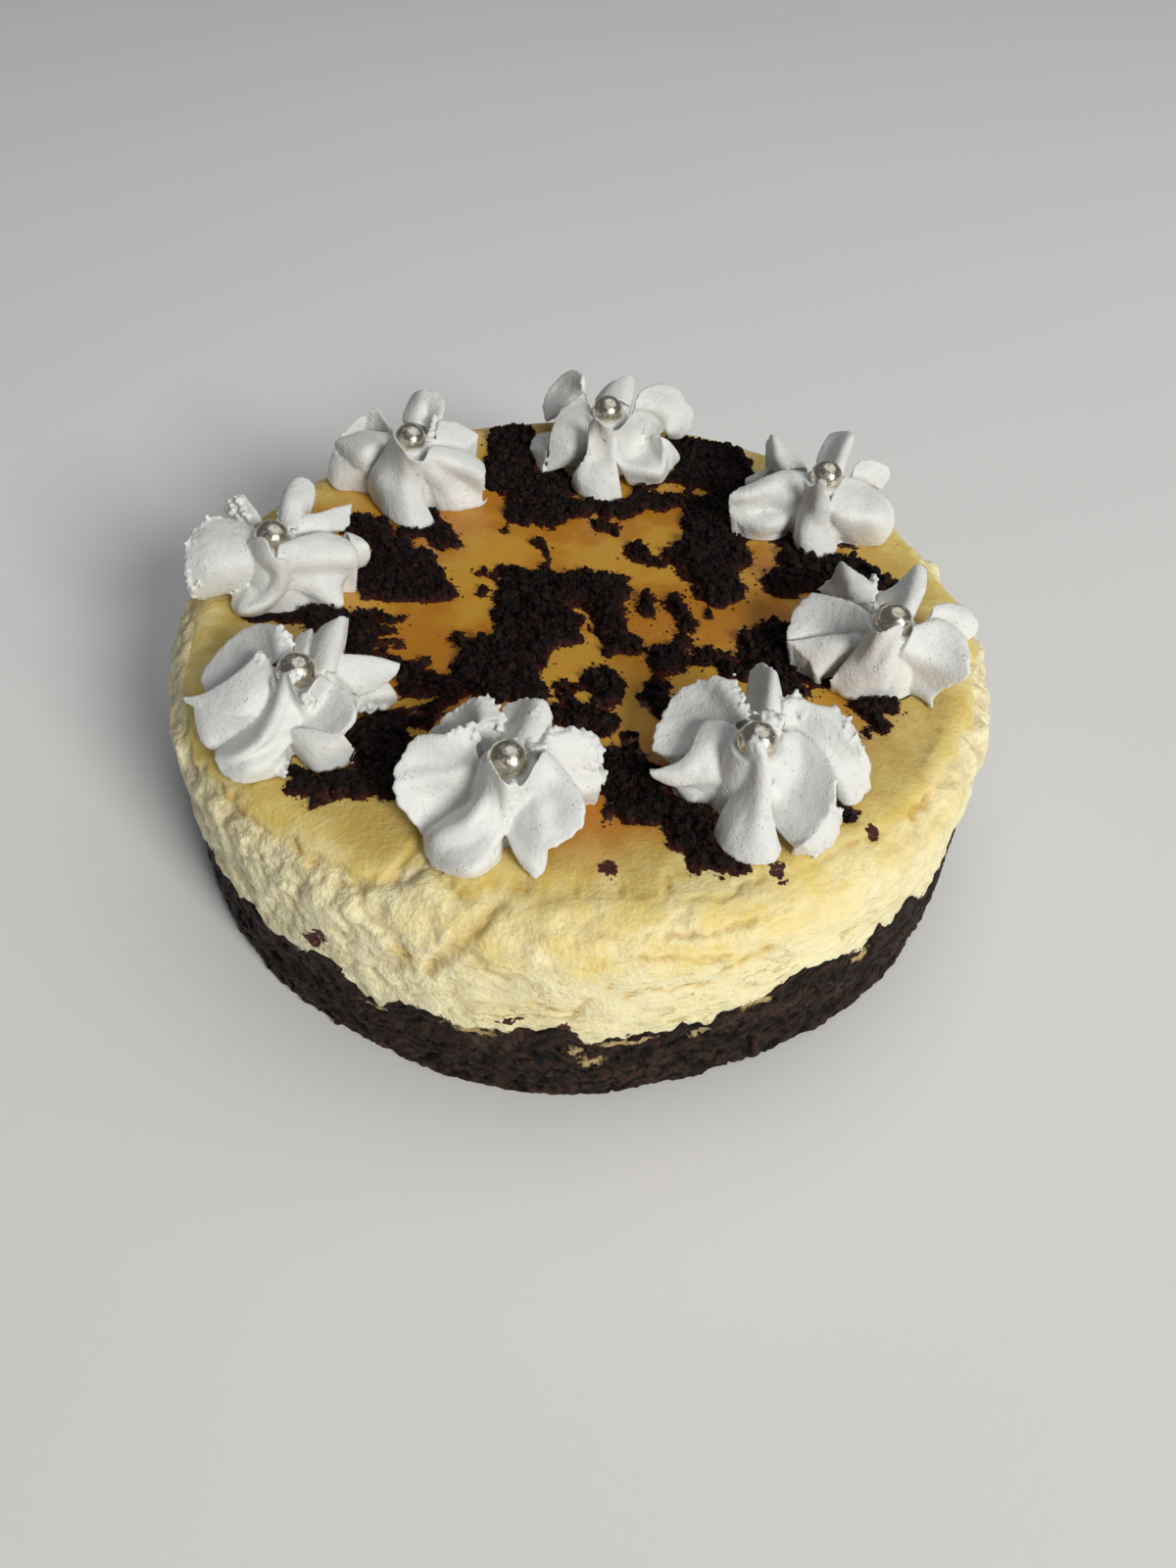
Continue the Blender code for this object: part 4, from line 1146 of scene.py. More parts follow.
    def lumps(
        self, name: str, centre: Array, radius: Array, splits: int, material: Material,
        draw: np.random.Generator,
    ) -> Piece:
        """One piece of many lumps, each knocked out of round and turned at random.

        Args:
            name: the piece's name.
            centre, radius: of each lump.
            splits: fineness of each lump.
            material: their finish.
            draw: source of the random draws.

        Returns:
            The piece.
        """
        ball, faces = octahedron(splits)
        total = len(centre)
        knocks = draw.uniform(0.65, 1.25, (total, len(ball), 1))
        squeeze = draw.uniform(0.6, 1.1, (total, 1, 3))
        frames, _ = np.linalg.qr(draw.normal(size=(total, 3, 3)))
        frames[np.linalg.det(frames) < 0.0, :, 0] *= -1.0
        shapes = np.einsum("nij,nkj->nki", frames, ball[None] * knocks * squeeze)
        points = (shapes * radius[:, None, None] + centre[:, None, :]).reshape(-1, 3)
        numbers = (faces[None] + (np.arange(total) * len(ball))[:, None, None]).reshape(-1, 3)
        tone = np.repeat(draw.random(total) ** 2.5, len(ball))
        thin = np.repeat(self.thinness(centre[:, :2]) * draw.uniform(0.2, 1.0, total), len(ball))
        return make_piece(name, points, (numbers,), material, {"tone": tone, "thin": thin}, smooth=False)


class Cover:
    """A plan grid of what the flowers stand on."""

    def __init__(self, half: float = 80.0, pitch: float = 0.5) -> None:
        """Start with nothing covered.

        Args:
            half: half the grid's width.
            pitch: width of a cell.
        """
        self.half = half
        self.pitch = pitch
        self.cells = np.zeros((int(2 * half / pitch), int(2 * half / pitch)), dtype=bool)

    def place(self, plan: Array) -> tuple[Array, Array]:
        """Row and column of the cell of each plan point."""
        cells = np.clip(((plan + self.half) / self.pitch).astype(int), 0, len(self.cells) - 1)
        return cells[:, 1], cells[:, 0]

    def add(self, plan: Array) -> None:
        """Mark the cells of these plan points and their neighbours."""
        for shift in np.ndindex(3, 3):
            self.cells[self.place(plan + (np.array(shift) - 1) * self.pitch)] = True

    def over(self, plan: Array) -> Array:
        """Whether each plan point is covered."""
        return self.cells[self.place(plan)]


@dataclass(frozen=True)
class PhotoCamera:
    """The photograph's camera: a pinhole over a picture of 1200 by 1600 pixels, in millimetres."""

    eye: Place = (2.35, -175.0, 178.9)
    pitch: float = 46.18
    roll: float = 2.43
    focal: float = 1202.0
    middle: tuple[float, float] = (600.0, 800.0)

    def axes(self) -> tuple[Array, Array, Array]:
        """Its side, up and back directions: level axes pitched down and then rolled."""
        pitch, roll = math.radians(self.pitch), math.radians(self.roll)
        level = np.array((1.0, 0.0, 0.0))
        rise = np.array((0.0, math.sin(pitch), math.cos(pitch)))
        back = np.array((0.0, -math.cos(pitch), math.sin(pitch)))
        side = math.cos(roll) * level + math.sin(roll) * rise
        return side, math.cos(roll) * rise - math.sin(roll) * level, back

    def lay(self, spots: Array) -> Array:
        """Places of spots that the photograph shows.

        Args:
            spots: rows of pixel x, pixel y and height over the floor.

        Returns:
            For each spot the point of its line of sight that has its height.
        """
        side, up, back = self.axes()
        across = (spots[..., 0] - self.middle[0]) / self.focal
        down = (spots[..., 1] - self.middle[1]) / self.focal
        sight = across[..., None] * side - down[..., None] * up - back
        run = (spots[..., 2] - self.eye[2]) / sight[..., 2]
        return np.array(self.eye) + run[..., None] * sight


def flow(marks: Array, count: int) -> Array:
    """Smooth run through rows of marks: a Catmull-Rom curve with straight ends.

    Args:
        marks: what to run through, one row after the other; a row may be an array of any shape.
        count: number of rows wanted.

    Returns:
        Evenly spaced rows of the run.
    """
    padded = np.concatenate([2.0 * marks[:1] - marks[1:2], marks, 2.0 * marks[-1:] - marks[-2:-1]])
    spot = np.linspace(0.0, len(marks) - 1.0, count)
    base = np.minimum(spot.astype(int), len(marks) - 2)
    share = (spot - base).reshape(-1, *[1] * (marks.ndim - 1))
    before, start, end, after = (padded[base + step] for step in range(4))
    curve = (2.0 * before - 5.0 * start + 4.0 * end - after) * share**2
    curve += (3.0 * start - before - 3.0 * end + after) * share**3
    return start + 0.5 * ((end - before) * share + curve)


@dataclass(frozen=True)
class Petal:
    """One piped petal: a sheet over ribs that run from its root to its rim.

    A rib's points are read from the photograph, three numbers each: pixels to the right of the
    pearl's middle, pixels below it, and millimetres over the top of the cake. Torn is how ragged the
    rim is. A filled petal is cream down to the cake all over, and any other only near its root.
    """

    name: str
    ribs: tuple
    torn: float = 0.0
    root_thickness: float = 3.4
    rim_thickness: float = 1.15
    filled: bool = False

    def shell(
        self, form: CakeForm, camera: PhotoCamera, noise: Noise, flower: "CreamFlower", fineness: int = 44
    ) -> tuple[Array, Array]:
        """Closed petal: the sheet through the ribs, thickened behind the face that the photograph shows.

        Its root goes on along the line of sight for half its thickness, so that a tip is solid too.

        Args:
            form: the cake.
            camera: the camera that the ribs were read with.
            noise: for the ragged rim.
            flower: the flower, toward whose middle the underside draws in.
            fineness: points along and across.

        Returns:
            Points and quads.
        """
        ribs = np.stack([flow(flower.trace(rib, form, camera), fineness) for rib in self.ribs])
        sheet = flow(ribs, fineness)
        out, across = np.meshgrid(np.linspace(0.0, 1.0, fineness), np.linspace(0.0, 1.0, fineness))
        run = np.gradient(sheet, axis=1)
        run /= np.linalg.norm(run, axis=-1, keepdims=True) + 1e-9
        rip = 1.5 * noise.fractal(sheet.reshape(-1, 3), 1.3, 3).reshape(out.shape)
        sheet = sheet + run * (self.torn * np.clip(rip, -1.0, 0.6) * ease(out, 0.55, 1.0))[..., None]
        normal = np.cross(np.gradient(sheet, axis=0), np.gradient(sheet, axis=1))
        normal /= np.linalg.norm(normal, axis=-1, keepdims=True) + 1e-9
        toward = np.array(camera.eye) - sheet.mean(axis=(0, 1))
        facing = 1.0 if (normal.mean(axis=(0, 1)) @ toward) > 0.0 else -1.0
        thick = blend(self.root_thickness, self.rim_thickness, out)
        thick = thick * np.sqrt(1.0 - 0.85 * np.abs(2.0 * across - 1.0) ** 10) * np.sqrt(1.0 - 0.6 * out**12)
        upper = sheet + normal * (0.25 * facing * thick)[..., None]
        lower = sheet - normal * (0.75 * facing * thick)[..., None]
        away = upper[:, :1] - np.array(camera.eye)
        away *= 0.5 * self.root_thickness / np.linalg.norm(away, axis=-1, keepdims=True)
        upper = np.concatenate([upper[:, :1] + away, upper], axis=1)
        lower = np.concatenate([lower[:, :1], lower], axis=1)
        out = np.concatenate([out[:, :1], out], axis=1)
        drawn_in = 0.1 if self.filled else 0.42
        ground = blend(upper[..., :2], flower.middle, drawn_in)
        ground = np.concatenate([ground, np.full(out.shape + (1,), form.height - 1.5)], axis=-1)
        fill = 1.0 if self.filled else 1.0 - ease(out, 0.35, 0.75)
        lower = blend(lower, ground, np.broadcast_to(fill, out.shape)[..., None])
        points = np.concatenate([upper.reshape(-1, 3), lower.reshape(-1, 3)])
        quads = slab_quads(fineness, fineness + 1)
        return points, quads if facing > 0.0 else quads[:, ::-1]


@dataclass(frozen=True)
class CreamFlower:
    """One piped flower: where its middle stands on the cake and which petals it has.

    Tears are paths of torn, bubbly rims, read from the photograph like the petals' ribs. Over the top
    of the cake the cream starts at gap and is held under ceiling plus its room, inside the solids,
    and no crumbs lie where it is lower than low_cream.
    """

    name: str
    ring_radius: float
    azimuth: float
    pearl_pixel: tuple[int, int]
    petals: tuple[Petal, ...]
    tears: tuple = ()
    core_radius: float = 5.6
    core_height: float = 11.4
    voxel: float = 0.27
    gap: float = 0.02
    low_cream: float = 2.5
    ceiling: float = 14.9
    ceiling_room: float = 0.48

    @property
    def middle(self) -> Array:
        """Plan position of the flower's middle."""
        angle = math.radians(self.azimuth)
        return np.array((self.ring_radius * math.cos(angle), self.ring_radius * math.sin(angle)))

    def trace(self, path: tuple, form: CakeForm, camera: PhotoCamera) -> Array:
        """Places along a rib or a tear, one a row."""
        start = np.array((*self.pearl_pixel, form.height))
        return camera.lay(np.array(path, dtype=float).reshape(-1, 3) + start)

    def core(self, form: CakeForm) -> tuple[Array, tuple[Array, Array]]:
        """The short column that the petals grow out of, wider at its foot, which hugs the pearl."""
        radius = self.core_radius * np.array([1.27, 1.14, 1.02, 0.76])
        height = form.height + np.array([-1.5, 0.6, 0.45 * self.core_height, self.core_height])
        grid = np.repeat(radius[:, None], 32, axis=1), np.repeat(height[:, None], 32, axis=1)
        points, _ = form.revolve(*grid, (np.ones(4), np.zeros(4)))
        return form.close_poles(points + np.append(self.middle, 0.0), 4, 32)

    def bubbles(self, form: CakeForm, camera: PhotoCamera) -> tuple[Array, Array]:
        """Points and triangles of the small lumps along the tears, about three for each millimetre."""
        draw = np.random.default_rng(len(self.name))
        paths = [flow(self.trace(tear, form, camera), 40) for tear in self.tears]
        if not paths:
            return np.empty((0, 3)), np.empty((0, 3), dtype=int)
        centre = np.concatenate(paths) + draw.normal(0.0, 0.38, (40 * len(paths), 3))
        ball, faces = octahedron(1)
        size = draw.uniform(0.24, 0.58, (len(centre), 1, 1))
        size = size * draw.uniform(0.7, 1.2, (len(centre), len(ball), 1))
        numbers = faces[None] + (np.arange(len(centre)) * len(ball))[:, None, None]
        return (centre[:, None, :] + ball * size).reshape(-1, 3), numbers.reshape(-1, 3)

    def build(
        self, form: CakeForm, camera: PhotoCamera, noise: Noise, material: Material, cover: Cover
    ) -> Piece:
        """Build the flower: petals and core fused by a fine remesh, smoothed and cut flat below.

        Args:
            form: the cake.
            camera: the camera that the petals were read with.
            noise: for ragged rims.
            material: its finish.
            cover: plan grid that the flower adds itself to.

        Returns:
            The piece.
        """
        points, (quads, triangles) = self.core(form)
        points_list, quad_list, total = [points], [quads], len(points)
        for petal in self.petals:
            points, faces = petal.shell(form, camera, noise, self)
            points_list.append(points)
            quad_list.append(faces + total)
            total += len(points)
        points, faces = self.bubbles(form, camera)
        points_list.append(points)
        triangles = np.concatenate([triangles, faces + total])
        raw = make_piece("petals", np.concatenate(points_list), (np.concatenate(quad_list), triangles), None)
        remesh = raw.modifiers.new("fuse", "REMESH")
        remesh.mode = "VOXEL"
        remesh.voxel_size = self.voxel * MM
        relax = raw.modifiers.new("relax", "SMOOTH")
        relax.factor = 0.5
        relax.iterations = 1
        graph = bpy.context.evaluated_depsgraph_get()
        fused = bpy.data.meshes.new_from_object(raw.evaluated_get(graph))
        bpy.data.objects.remove(raw, do_unlink=True)
        place = np.empty(len(fused.vertices) * 3, dtype=np.float32)
        fused.vertices.foreach_get("co", place)
        place = place.reshape(-1, 3).astype(float)
        level = np.maximum(place[:, 2], (form.height + self.gap) * MM)
        place[:, 2] = limit(level, (form.height + self.ceiling) * MM, self.ceiling_room * MM)
        fused.vertices.foreach_set("co", place.ravel().astype(np.float32))
        fused.polygons.foreach_set("use_smooth", np.full(len(fused.polygons), True))
        fused.update()
        fused.materials.clear()
        fused.materials.append(material)
        fused.name = f"cream_{self.name}"
        cover.add(place[place[:, 2] < (form.height + self.low_cream) * MM, :2] / MM)
        return show(fused.name, fused)


FRONT_PETALS = (
    Petal("left_shell", (
        (-23, 14, 7, -35, 37, 3.8, -59, 58, 2, -81, 80, 0.4),
        (-28, 4, 8.6, -51, 22, 6, -81, 35, 4.6, -108, 51, 4.4),
        (-30, -4, 9.6, -57, 12, 8, -89, 17, 7.8, -118, 25, 7.8),
        (-31, -10, 10.4, -55, 0, 8.8, -85, -1, 9, -115, 4, 9.4),
        (-34, -28, 12, -51, -23, 12, -73, -22, 12, -96, -25, 11.8),
        (-37, -37, 13.2, -49, -31, 13, -63, -29, 12.8, -79, -29, 12.3),
    ), 0.4),
    Petal("front_left_tongue", (
        (-25, 18, 6, -37, 39, 4, -61, 55, 2.5, -86, 75, 0.6),
        (-19, 1, 13.4, -23, 28, 9.6, -43, 59, 7.2, -73, 72, 5, -87, 79, 1.5),
        (-14, -5, 15.8, -16, 40, 8.8, -33, 75, 4.8, -63, 89, 3.6, -81, 102, 0.5),
        (-7, 7, 15.4, -9, 48, 7.4, -23, 82, 4.2, -49, 104, 3.2, -61, 114, 0.4),
        (-1, 17, 14.4, -3, 54, 6.4, -15, 84, 3.8, -32, 107, 3, -35, 117, 0.4),
        (5, 23, 12.6, 1, 50, 5.4, -6, 70, 3, -9, 90, 2.5, -14, 105, 0.4),
    ), 0.3, filled=True),
    Petal("front_right_tongue", (
        (0, 24, 12, -2, 42, 6.5, -5, 62, 4, 3, 88, 2.8, 15, 108, 0.5),
        (9, 20, 13.4, 7, 40, 7, 7, 62, 4.8, 17, 90, 3, 27, 118, 0.4),
        (15, 12, 14.8, 17, 34, 7.8, 20, 60, 6, 29, 84, 4.2, 37, 109, 1),
        (19, 4, 15.4, 27, 28, 8.6, 32, 52, 7.2, 35, 70, 6, 39, 89, 4),
        (24, -2, 14.6, 37, 24, 9.2, 46, 46, 7.4, 51, 64, 6.4, 56, 83, 5),
        (30, -8, 13.4, 48, 16, 10.4, 61, 35, 9, 70, 50, 8, 75, 64, 7),
        (37, -12, 12.5, 50, -1, 11.4, 63, 13, 10.6, 71, 26, 9.9, 76, 42, 9),
    ), 0.3, rim_thickness=1.3),
    Petal("right_upper", (
        (37, -8, 9.5, 54, 7, 7.5, 71, 5, 7, 92, 10, 6.5),
        (37, -15, 11, 54, -13, 10.3, 73, -13, 9.5, 94, -4, 8),
        (34, -21, 12.5, 47, -29, 12.3, 61, -31, 11.8, 79, -28, 11, 92, -18, 9.5),
    ), 0.9),
    Petal("right_lower", (
        (47, 2, 8, 71, 2, 6.6, 93, 5, 6), (55, 14, 6.6, 76, 15, 5.6, 95, 17, 5),
        (63, 26, 4.8, 79, 28, 4.2, 94, 27, 3.6), (69, 35, 1.4, 81, 39, 0.8, 93, 37, 0.8),
    ), 0.2, filled=True),
    Petal("back_left", (
        (-19, -10, 9, -39, -18, 7, -61, -26, 6.5, -82, -28, 6.5),
        (-22, -20, 11, -37, -32, 8.8, -55, -38, 8, -70, -40, 8),
        (-23, -30, 12.5, -31, -43, 11, -45, -50, 9.8, -54, -55, 10),
        (-24, -38, 13, -27, -50, 13, -30, -60, 13.2, -34, -66, 13),
        (-6, -42, 11.8, -9, -50, 12.3, -14, -58, 12.8, -21, -66, 13.5),
    ), 0.7),
    Petal("back_right", (
        (-7, -16, 8.5, -7, -33, 9, -7, -46, 9.8, -6, -58, 10.5),
        (2, -18, 9, 4, -36, 9.8, 8, -50, 11, 12, -64, 12.2),
        (12, -16, 11, 17, -33, 12.5, 25, -50, 13.5, 30, -65, 14.3),
        (24, -13, 11, 30, -25, 12, 38, -40, 12.8, 43, -56, 13.4),
        (34, -16, 10.5, 37, -23, 11, 41, -33, 11.3, 44, -45, 11.6),
    ), 0.5),
)

FRONT_RIGHT_PETALS = (
    Petal("left_back_shell", (
        (-73, 15, 5, -85, 16, 5, -96, 14, 5, -107, 9, 5),
        (-51, -2, 7, -69, -5, 6.5, -88, -7, 6, -107, -9, 6),
        (-33, -15, 9, -51, -22, 8.5, -71, -29, 8, -92, -39, 8),
        (-21, -19, 10.5, -35, -33, 10.5, -51, -47, 10.5, -70, -59, 11),
        (-13, -21, 12, -23, -37, 12.3, -33, -51, 12.8, -46, -67, 13.3),
        (-9, -19, 12, -13, -33, 12.5, -16, -45, 13, -23, -63, 13.5),
    ), 0.5),
    Petal("left_curl", (
        (-21, -16, 11, -38, -22, 10.5, -57, -19, 9.5, -70, 8, 8, -81, 20, 7, -109, 30, 6),
        (-18, -2, 10, -38, -5, 9.5, -55, 8, 8.5, -70, 26, 7, -88, 33, 6, -109, 32, 5.6),
        (-18, 18, 8.5, -35, 18, 7.5, -53, 28, 6.5, -68, 38, 5, -85, 42, 4.5, -107, 35, 5),
        (-21, 45, 6, -38, 43, 5, -58, 43, 4.5, -73, 44, 3.8, -88, 42, 3.8, -105, 36, 4.5),
    ), 0.3, rim_thickness=1.7),
    Petal("left_torn_foot", (
        (-21, 33, 5.4, -22, 53, 3.4, -23, 66, 0.8), (-48, 31, 4.8, -51, 47, 3, -53, 60, 0.8),
        (-73, 33, 4.2, -70, 47, 2.8, -67, 61, 0.8), (-91, 34, 3.8, -86, 42, 2.8, -79, 54, 0.8),
    ), 0.5, filled=True),
    Petal("front_tongue", (
        (-8, 4, 12.6, -15, 25, 8, -23, 49, 5, -37, 73, 2.8, -45, 94, 0.6),
        (-6, 0, 14, -10, 28, 9.2, -15, 55, 6, -25, 85, 3.8, -36, 110, 0.7),
        (-4, -4, 15.2, -3, 29, 10.2, -6, 59, 6.8, -12, 91, 4.2, -20, 121, 0.6),
        (-2, -9, 15.8, 3, 27, 11.4, 3, 57, 7.8, 0, 91, 4.8, -1, 125, 0.5),
        (1, -1, 15.2, 9, 33, 10.8, 9, 63, 7, 13, 93, 4.2, 16, 123, 0.5),
        (4, 9, 12.4, 11, 41, 9, 12, 69, 5.6, 19, 95, 3, 25, 109, 0.6),
    ), 0.2, filled=True),
    Petal("fragments", (
        (1, -15, 12, 3, -23, 12.8, 4, -30, 13.2), (10, -12, 12.4, 13, -21, 13, 16, -30, 13.4),
        (20, -9, 12, 26, -17, 12.4, 30, -25, 12.6),
    ), 1.0, 2.0, 0.9),
    Petal("right_front_shell", (
        (11, 45, 8, 14, 67, 4.6, 20, 89, 3, 39, 110, 1.5),
        (15, 33, 8.6, 23, 58, 5.6, 35, 81, 4.6, 53, 100, 4.4),
        (18, 23, 9.4, 33, 46, 6.4, 50, 67, 6, 69, 79, 6.6),
        (20, 13, 10, 41, 33, 7.6, 61, 49, 7.6, 77, 63, 8), (22, 3, 10.8, 42, 15, 9, 63, 29, 9, 81, 43, 9.2),
        (23, -9, 11.6, 39, -12, 11.2, 53, -2, 10.8, 73, 18, 10.2),
    ), 0.5),
    Petal("right_foot", (
        (40, 103, 3.6, 47, 109, 2.4, 50, 115, 0.5), (53, 93, 5, 63, 100, 3, 68, 110, 0.5),
        (66, 79, 6.2, 76, 87, 3.8, 81, 96, 0.8), (73, 67, 7, 81, 73, 4.4, 86, 78, 1.6),
    ), 0.9, filled=True),
    Petal("right_back_shell", (
        (24, -15, 10.5, 37, -13, 9.5, 55, 1, 8.5, 72, 23, 7, 79, 43, 4, 79, 59, 0.8),
        (24, -22, 11, 42, -20, 10.3, 63, -5, 9.3, 85, 23, 6.5, 91, 43, 4, 95, 65, 0.5),
        (24, -30, 11.8, 45, -29, 11.4, 70, -14, 10.5, 93, 11, 8, 103, 31, 5, 112, 51, 0.8),
        (24, -37, 12.5, 44, -38, 12.4, 69, -27, 11.8, 91, -5, 10, 105, 15, 7.5, 114, 37, 3),
        (24, -42, 13, 39, -45, 13, 57, -38, 12.5, 78, -34, 12, 89, -15, 11, 105, 10, 9),
    ), 0.4, rim_thickness=1.7),
    Petal("back_tongue", (
        (-9, -19, 8.5, -11, -35, 9, -11, -52, 9.5, -8, -72, 10.5),
        (0, -20, 9.5, -1, -37, 10.2, 1, -57, 11.3, 4, -80, 12.8),
        (9, -19, 11, 12, -35, 12.5, 14, -52, 13.7, 16, -74, 14.6),
        (20, -15, 10.5, 24, -29, 11.3, 25, -43, 12, 21, -65, 13),
    ), 0.4),
)

RIGHT_PETALS = (
    Petal("back_left", (
        (-62, -31, 6, -69, -35, 6, -75, -38, 6, -80, -40, 6),
        (-50, -27, 7.5, -56, -37, 7.8, -60, -45, 8, -64, -51, 8.5),
        (-38, -25, 9.5, -44, -38, 10.5, -49, -51, 11.5, -54, -68, 12.5),
        (-26, -23, 10.3, -30, -35, 11, -34, -45, 11.8, -42, -60, 12.6),
        (-19, -25, 10.5, -19, -35, 11, -21, -43, 11.5, -28, -51, 12),
    ), 0.3),
    Petal("left_upper_shell", (
        (-22, -13, 11.5, -40, -26, 11.2, -62, -33, 10.6, -84, -37, 9.6),
        (-23, -5, 11, -46, -15, 9.8, -72, -21, 8.8, -101, -20, 7.6),
        (-25, 3, 10, -50, 0, 8.2, -76, 0, 6.8, -109, 7, 6),
        (-28, 11, 8, -50, 12, 6.6, -72, 12, 5.4, -104, 16, 4.8),
    ), 0.3, filled=True),
    Petal("left_lower_shell", (
        (-26, 6, 9, -50, 6, 8.4, -74, 8, 7.2, -110, 13, 6),
        (-30, 14, 8, -50, 17, 7.4, -70, 21, 6.4, -92, 28, 4.6),
        (-34, 21, 6.5, -50, 27, 5, -64, 37, 3.6, -79, 48, 2.2),
        (-36, 27, 4.5, -46, 32, 3, -60, 41, 1.8, -74, 49, 0.6),
    ), 0.2, filled=True),
    Petal("front_tongue", (
        (-30, 14, 9, -42, 27, 6.8, -54, 39, 5, -66, 52, 3),
        (-23, 9, 11.4, -35, 28, 7.6, -47, 45, 4.8, -62, 61, 1.2),
        (-13, 2, 14.4, -24, 26, 9.2, -34, 49, 5, -45, 70, 0.8),
        (-3, -6, 16, -13, 24, 10, -21, 48, 5.8, -26, 71, 0.5),
        (4, -9, 16, -3, 18, 11.4, -8, 41, 7.4, -12, 68, 1.2),
        (9, -1, 14.6, 5, 16, 11.6, 2, 29, 9, 1, 47, 5),
    ), 0.2, filled=True),
    Petal("right_shell", (
        (2, 47, 2, 14, 61, 0.8, 28, 72, 0.4, 39, 82, 0.4), (5, 33, 6, 24, 45, 4.2, 36, 56, 3, 44, 67, 2),
        (6, 23, 9.4, 30, 31, 7.8, 51, 40, 7, 74, 52, 6.4),
        (9, 15, 11, 33, 15, 9.8, 55, 22, 9.2, 77, 39, 8.4),
        (14, 5, 12.4, 36, 0, 11.6, 56, 3, 11.3, 76, 17, 10.4),
        (20, -1, 12.4, 33, -7, 12.2, 45, -10, 12, 63, -1, 11.4),
    ), 0.2, rim_thickness=1.9),
    Petal("right_back_lobe", (
        (33, -11, 8.5, 48, -7, 7.5, 63, 4, 6, 75, 13, 4.5),
        (36, -16, 9.5, 54, -16, 9, 72, -8, 7.5, 84, 4, 5),
        (40, -22, 9.8, 55, -25, 9.5, 73, -21, 8.3, 87, -6, 6.5),
    ), 0.2, rim_thickness=1.7),
    Petal("back_right", (
        (-15, -19, 9, -18, -27, 8.8, -19, -37, 8.6), (-7, -21, 9.5, -7, -31, 9.7, -4, -40, 10),
        (3, -21, 10.5, 6, -35, 11.3, 8, -50, 12), (11, -16, 11.5, 18, -33, 13, 24, -65, 14.5),
        (18, -9, 11, 26, -26, 12, 33, -41, 13, 34, -61, 14),
    ), 0.3),
)

BACK_RIGHT_PETALS = (
    Petal("back_left", (
        (-52, -15, 7, -60, -25, 7.6, -62, -37, 8.6, -61, -50, 9.8),
        (-41, -14, 9.6, -50, -27, 10.8, -53, -37, 11.8, -56, -53, 13),
        (-29, -14, 9.8, -35, -25, 10.2, -39, -33, 10.6, -43, -41, 11),
        (-21, -13, 9, -23, -19, 9.2, -25, -24, 9.4, -29, -31, 9.8),
    ), 0.3, filled=True),
    Petal("left_small", (
        (-64, -5, 5, -74, -1, 4, -84, 1, 3), (-58, -11, 6, -70, -12, 5, -84, -7, 4),
        (-54, -16, 7, -64, -16, 6, -78, -12, 5),
    ), 0.2, filled=True),
    Petal("left_shell", (
        (-19, -11, 11, -40, -15, 11, -59, -10, 10.8, -78, -1, 9.8, -90, 3, 9.2),
        (-18, -3, 10.6, -41, -3, 10.4, -62, 3, 10, -82, 10, 9.2, -99, 11, 8.8),
        (-19, 7, 9.6, -42, 12, 8.4, -62, 16, 7.4, -81, 20, 6.8, -100, 24, 6.2),
        (-22, 19, 7.8, -44, 24, 5.6, -62, 26, 5, -78, 31, 4.8, -93, 36, 3.8),
        (-26, 31, 5.6, -42, 35, 4.2, -56, 39, 4.4, -69, 43, 3.6, -80, 47, 2),
        (-31, 42, 2.4, -42, 45, 1.6, -51, 48, 1.6, -58, 51, 1.4, -65, 55, 0.5),
    ), 0.4, rim_thickness=1.7, filled=True),
    Petal("front_tongue", (
        (-19, 6, 11, -26, 21, 8, -31, 37, 5, -33, 51, 2.4, -32, 61, 0.6),
        (-12, 0, 13.8, -18, 19, 9.4, -24, 40, 6, -26, 58, 3, -24, 72, 0.4),
        (-5, -8, 15.9, -9, 17, 11.2, -13, 40, 6.4, -13, 60, 3, -12, 75, 0.4),
        (1, -5, 15.7, -1, 21, 10.4, -2, 41, 6, 0, 57, 3, 3, 72, 0.4),
        (3, 10, 12.8, 4, 29, 8, 5, 43, 5, 9, 55, 2.6, 10, 65, 0.6),
    ), 0.2, rim_thickness=1.5, filled=True),
    Petal("right_shell", (
        (-2, 29, 8, 6, 39, 6.4, 12, 47, 4, 14, 55, 0.8),
        (0, 23, 9.4, 18, 32, 8.4, 29, 43, 5.5, 32, 58, 0.8),
        (4, 13, 10.4, 29, 23, 9, 48, 37, 7, 53, 59, 0.8), (8, 5, 11, 34, 13, 9.5, 56, 25, 8, 65, 47, 3),
        (12, -2, 11.4, 34, 2, 9.8, 54, 10, 8.5, 69, 27, 6),
        (16, -8, 11.6, 32, -5, 10.4, 49, 4, 9.5, 65, 15, 8),
    ), 0.2, rim_thickness=1.7, filled=True),
    Petal("right_back_lobe", (
        (22, -8, 10, 36, -4, 8.5, 54, 5, 6.5), (24, -14, 10.8, 42, -13, 10, 61, -3, 7.5),
        (27, -20, 11.3, 44, -23, 11, 65, -11, 9), (32, -25, 11.8, 44, -27, 11.7, 61, -20, 10.5),
    ), 0.2, rim_thickness=1.9),
    Petal("back_tongue", (
        (-11, -15, 9, -10, -27, 9.8, -5, -40, 11, 2, -52, 12),
        (-2, -15, 10, 2, -30, 11, 8, -43, 12.2, 14, -55, 13.4),
        (8, -10, 11.5, 13, -25, 12.8, 18, -39, 13.8, 26, -53, 14.6),
        (13, -8, 10.5, 18, -20, 11.3, 22, -30, 12, 26, -41, 13),
    ), 0.2),
)

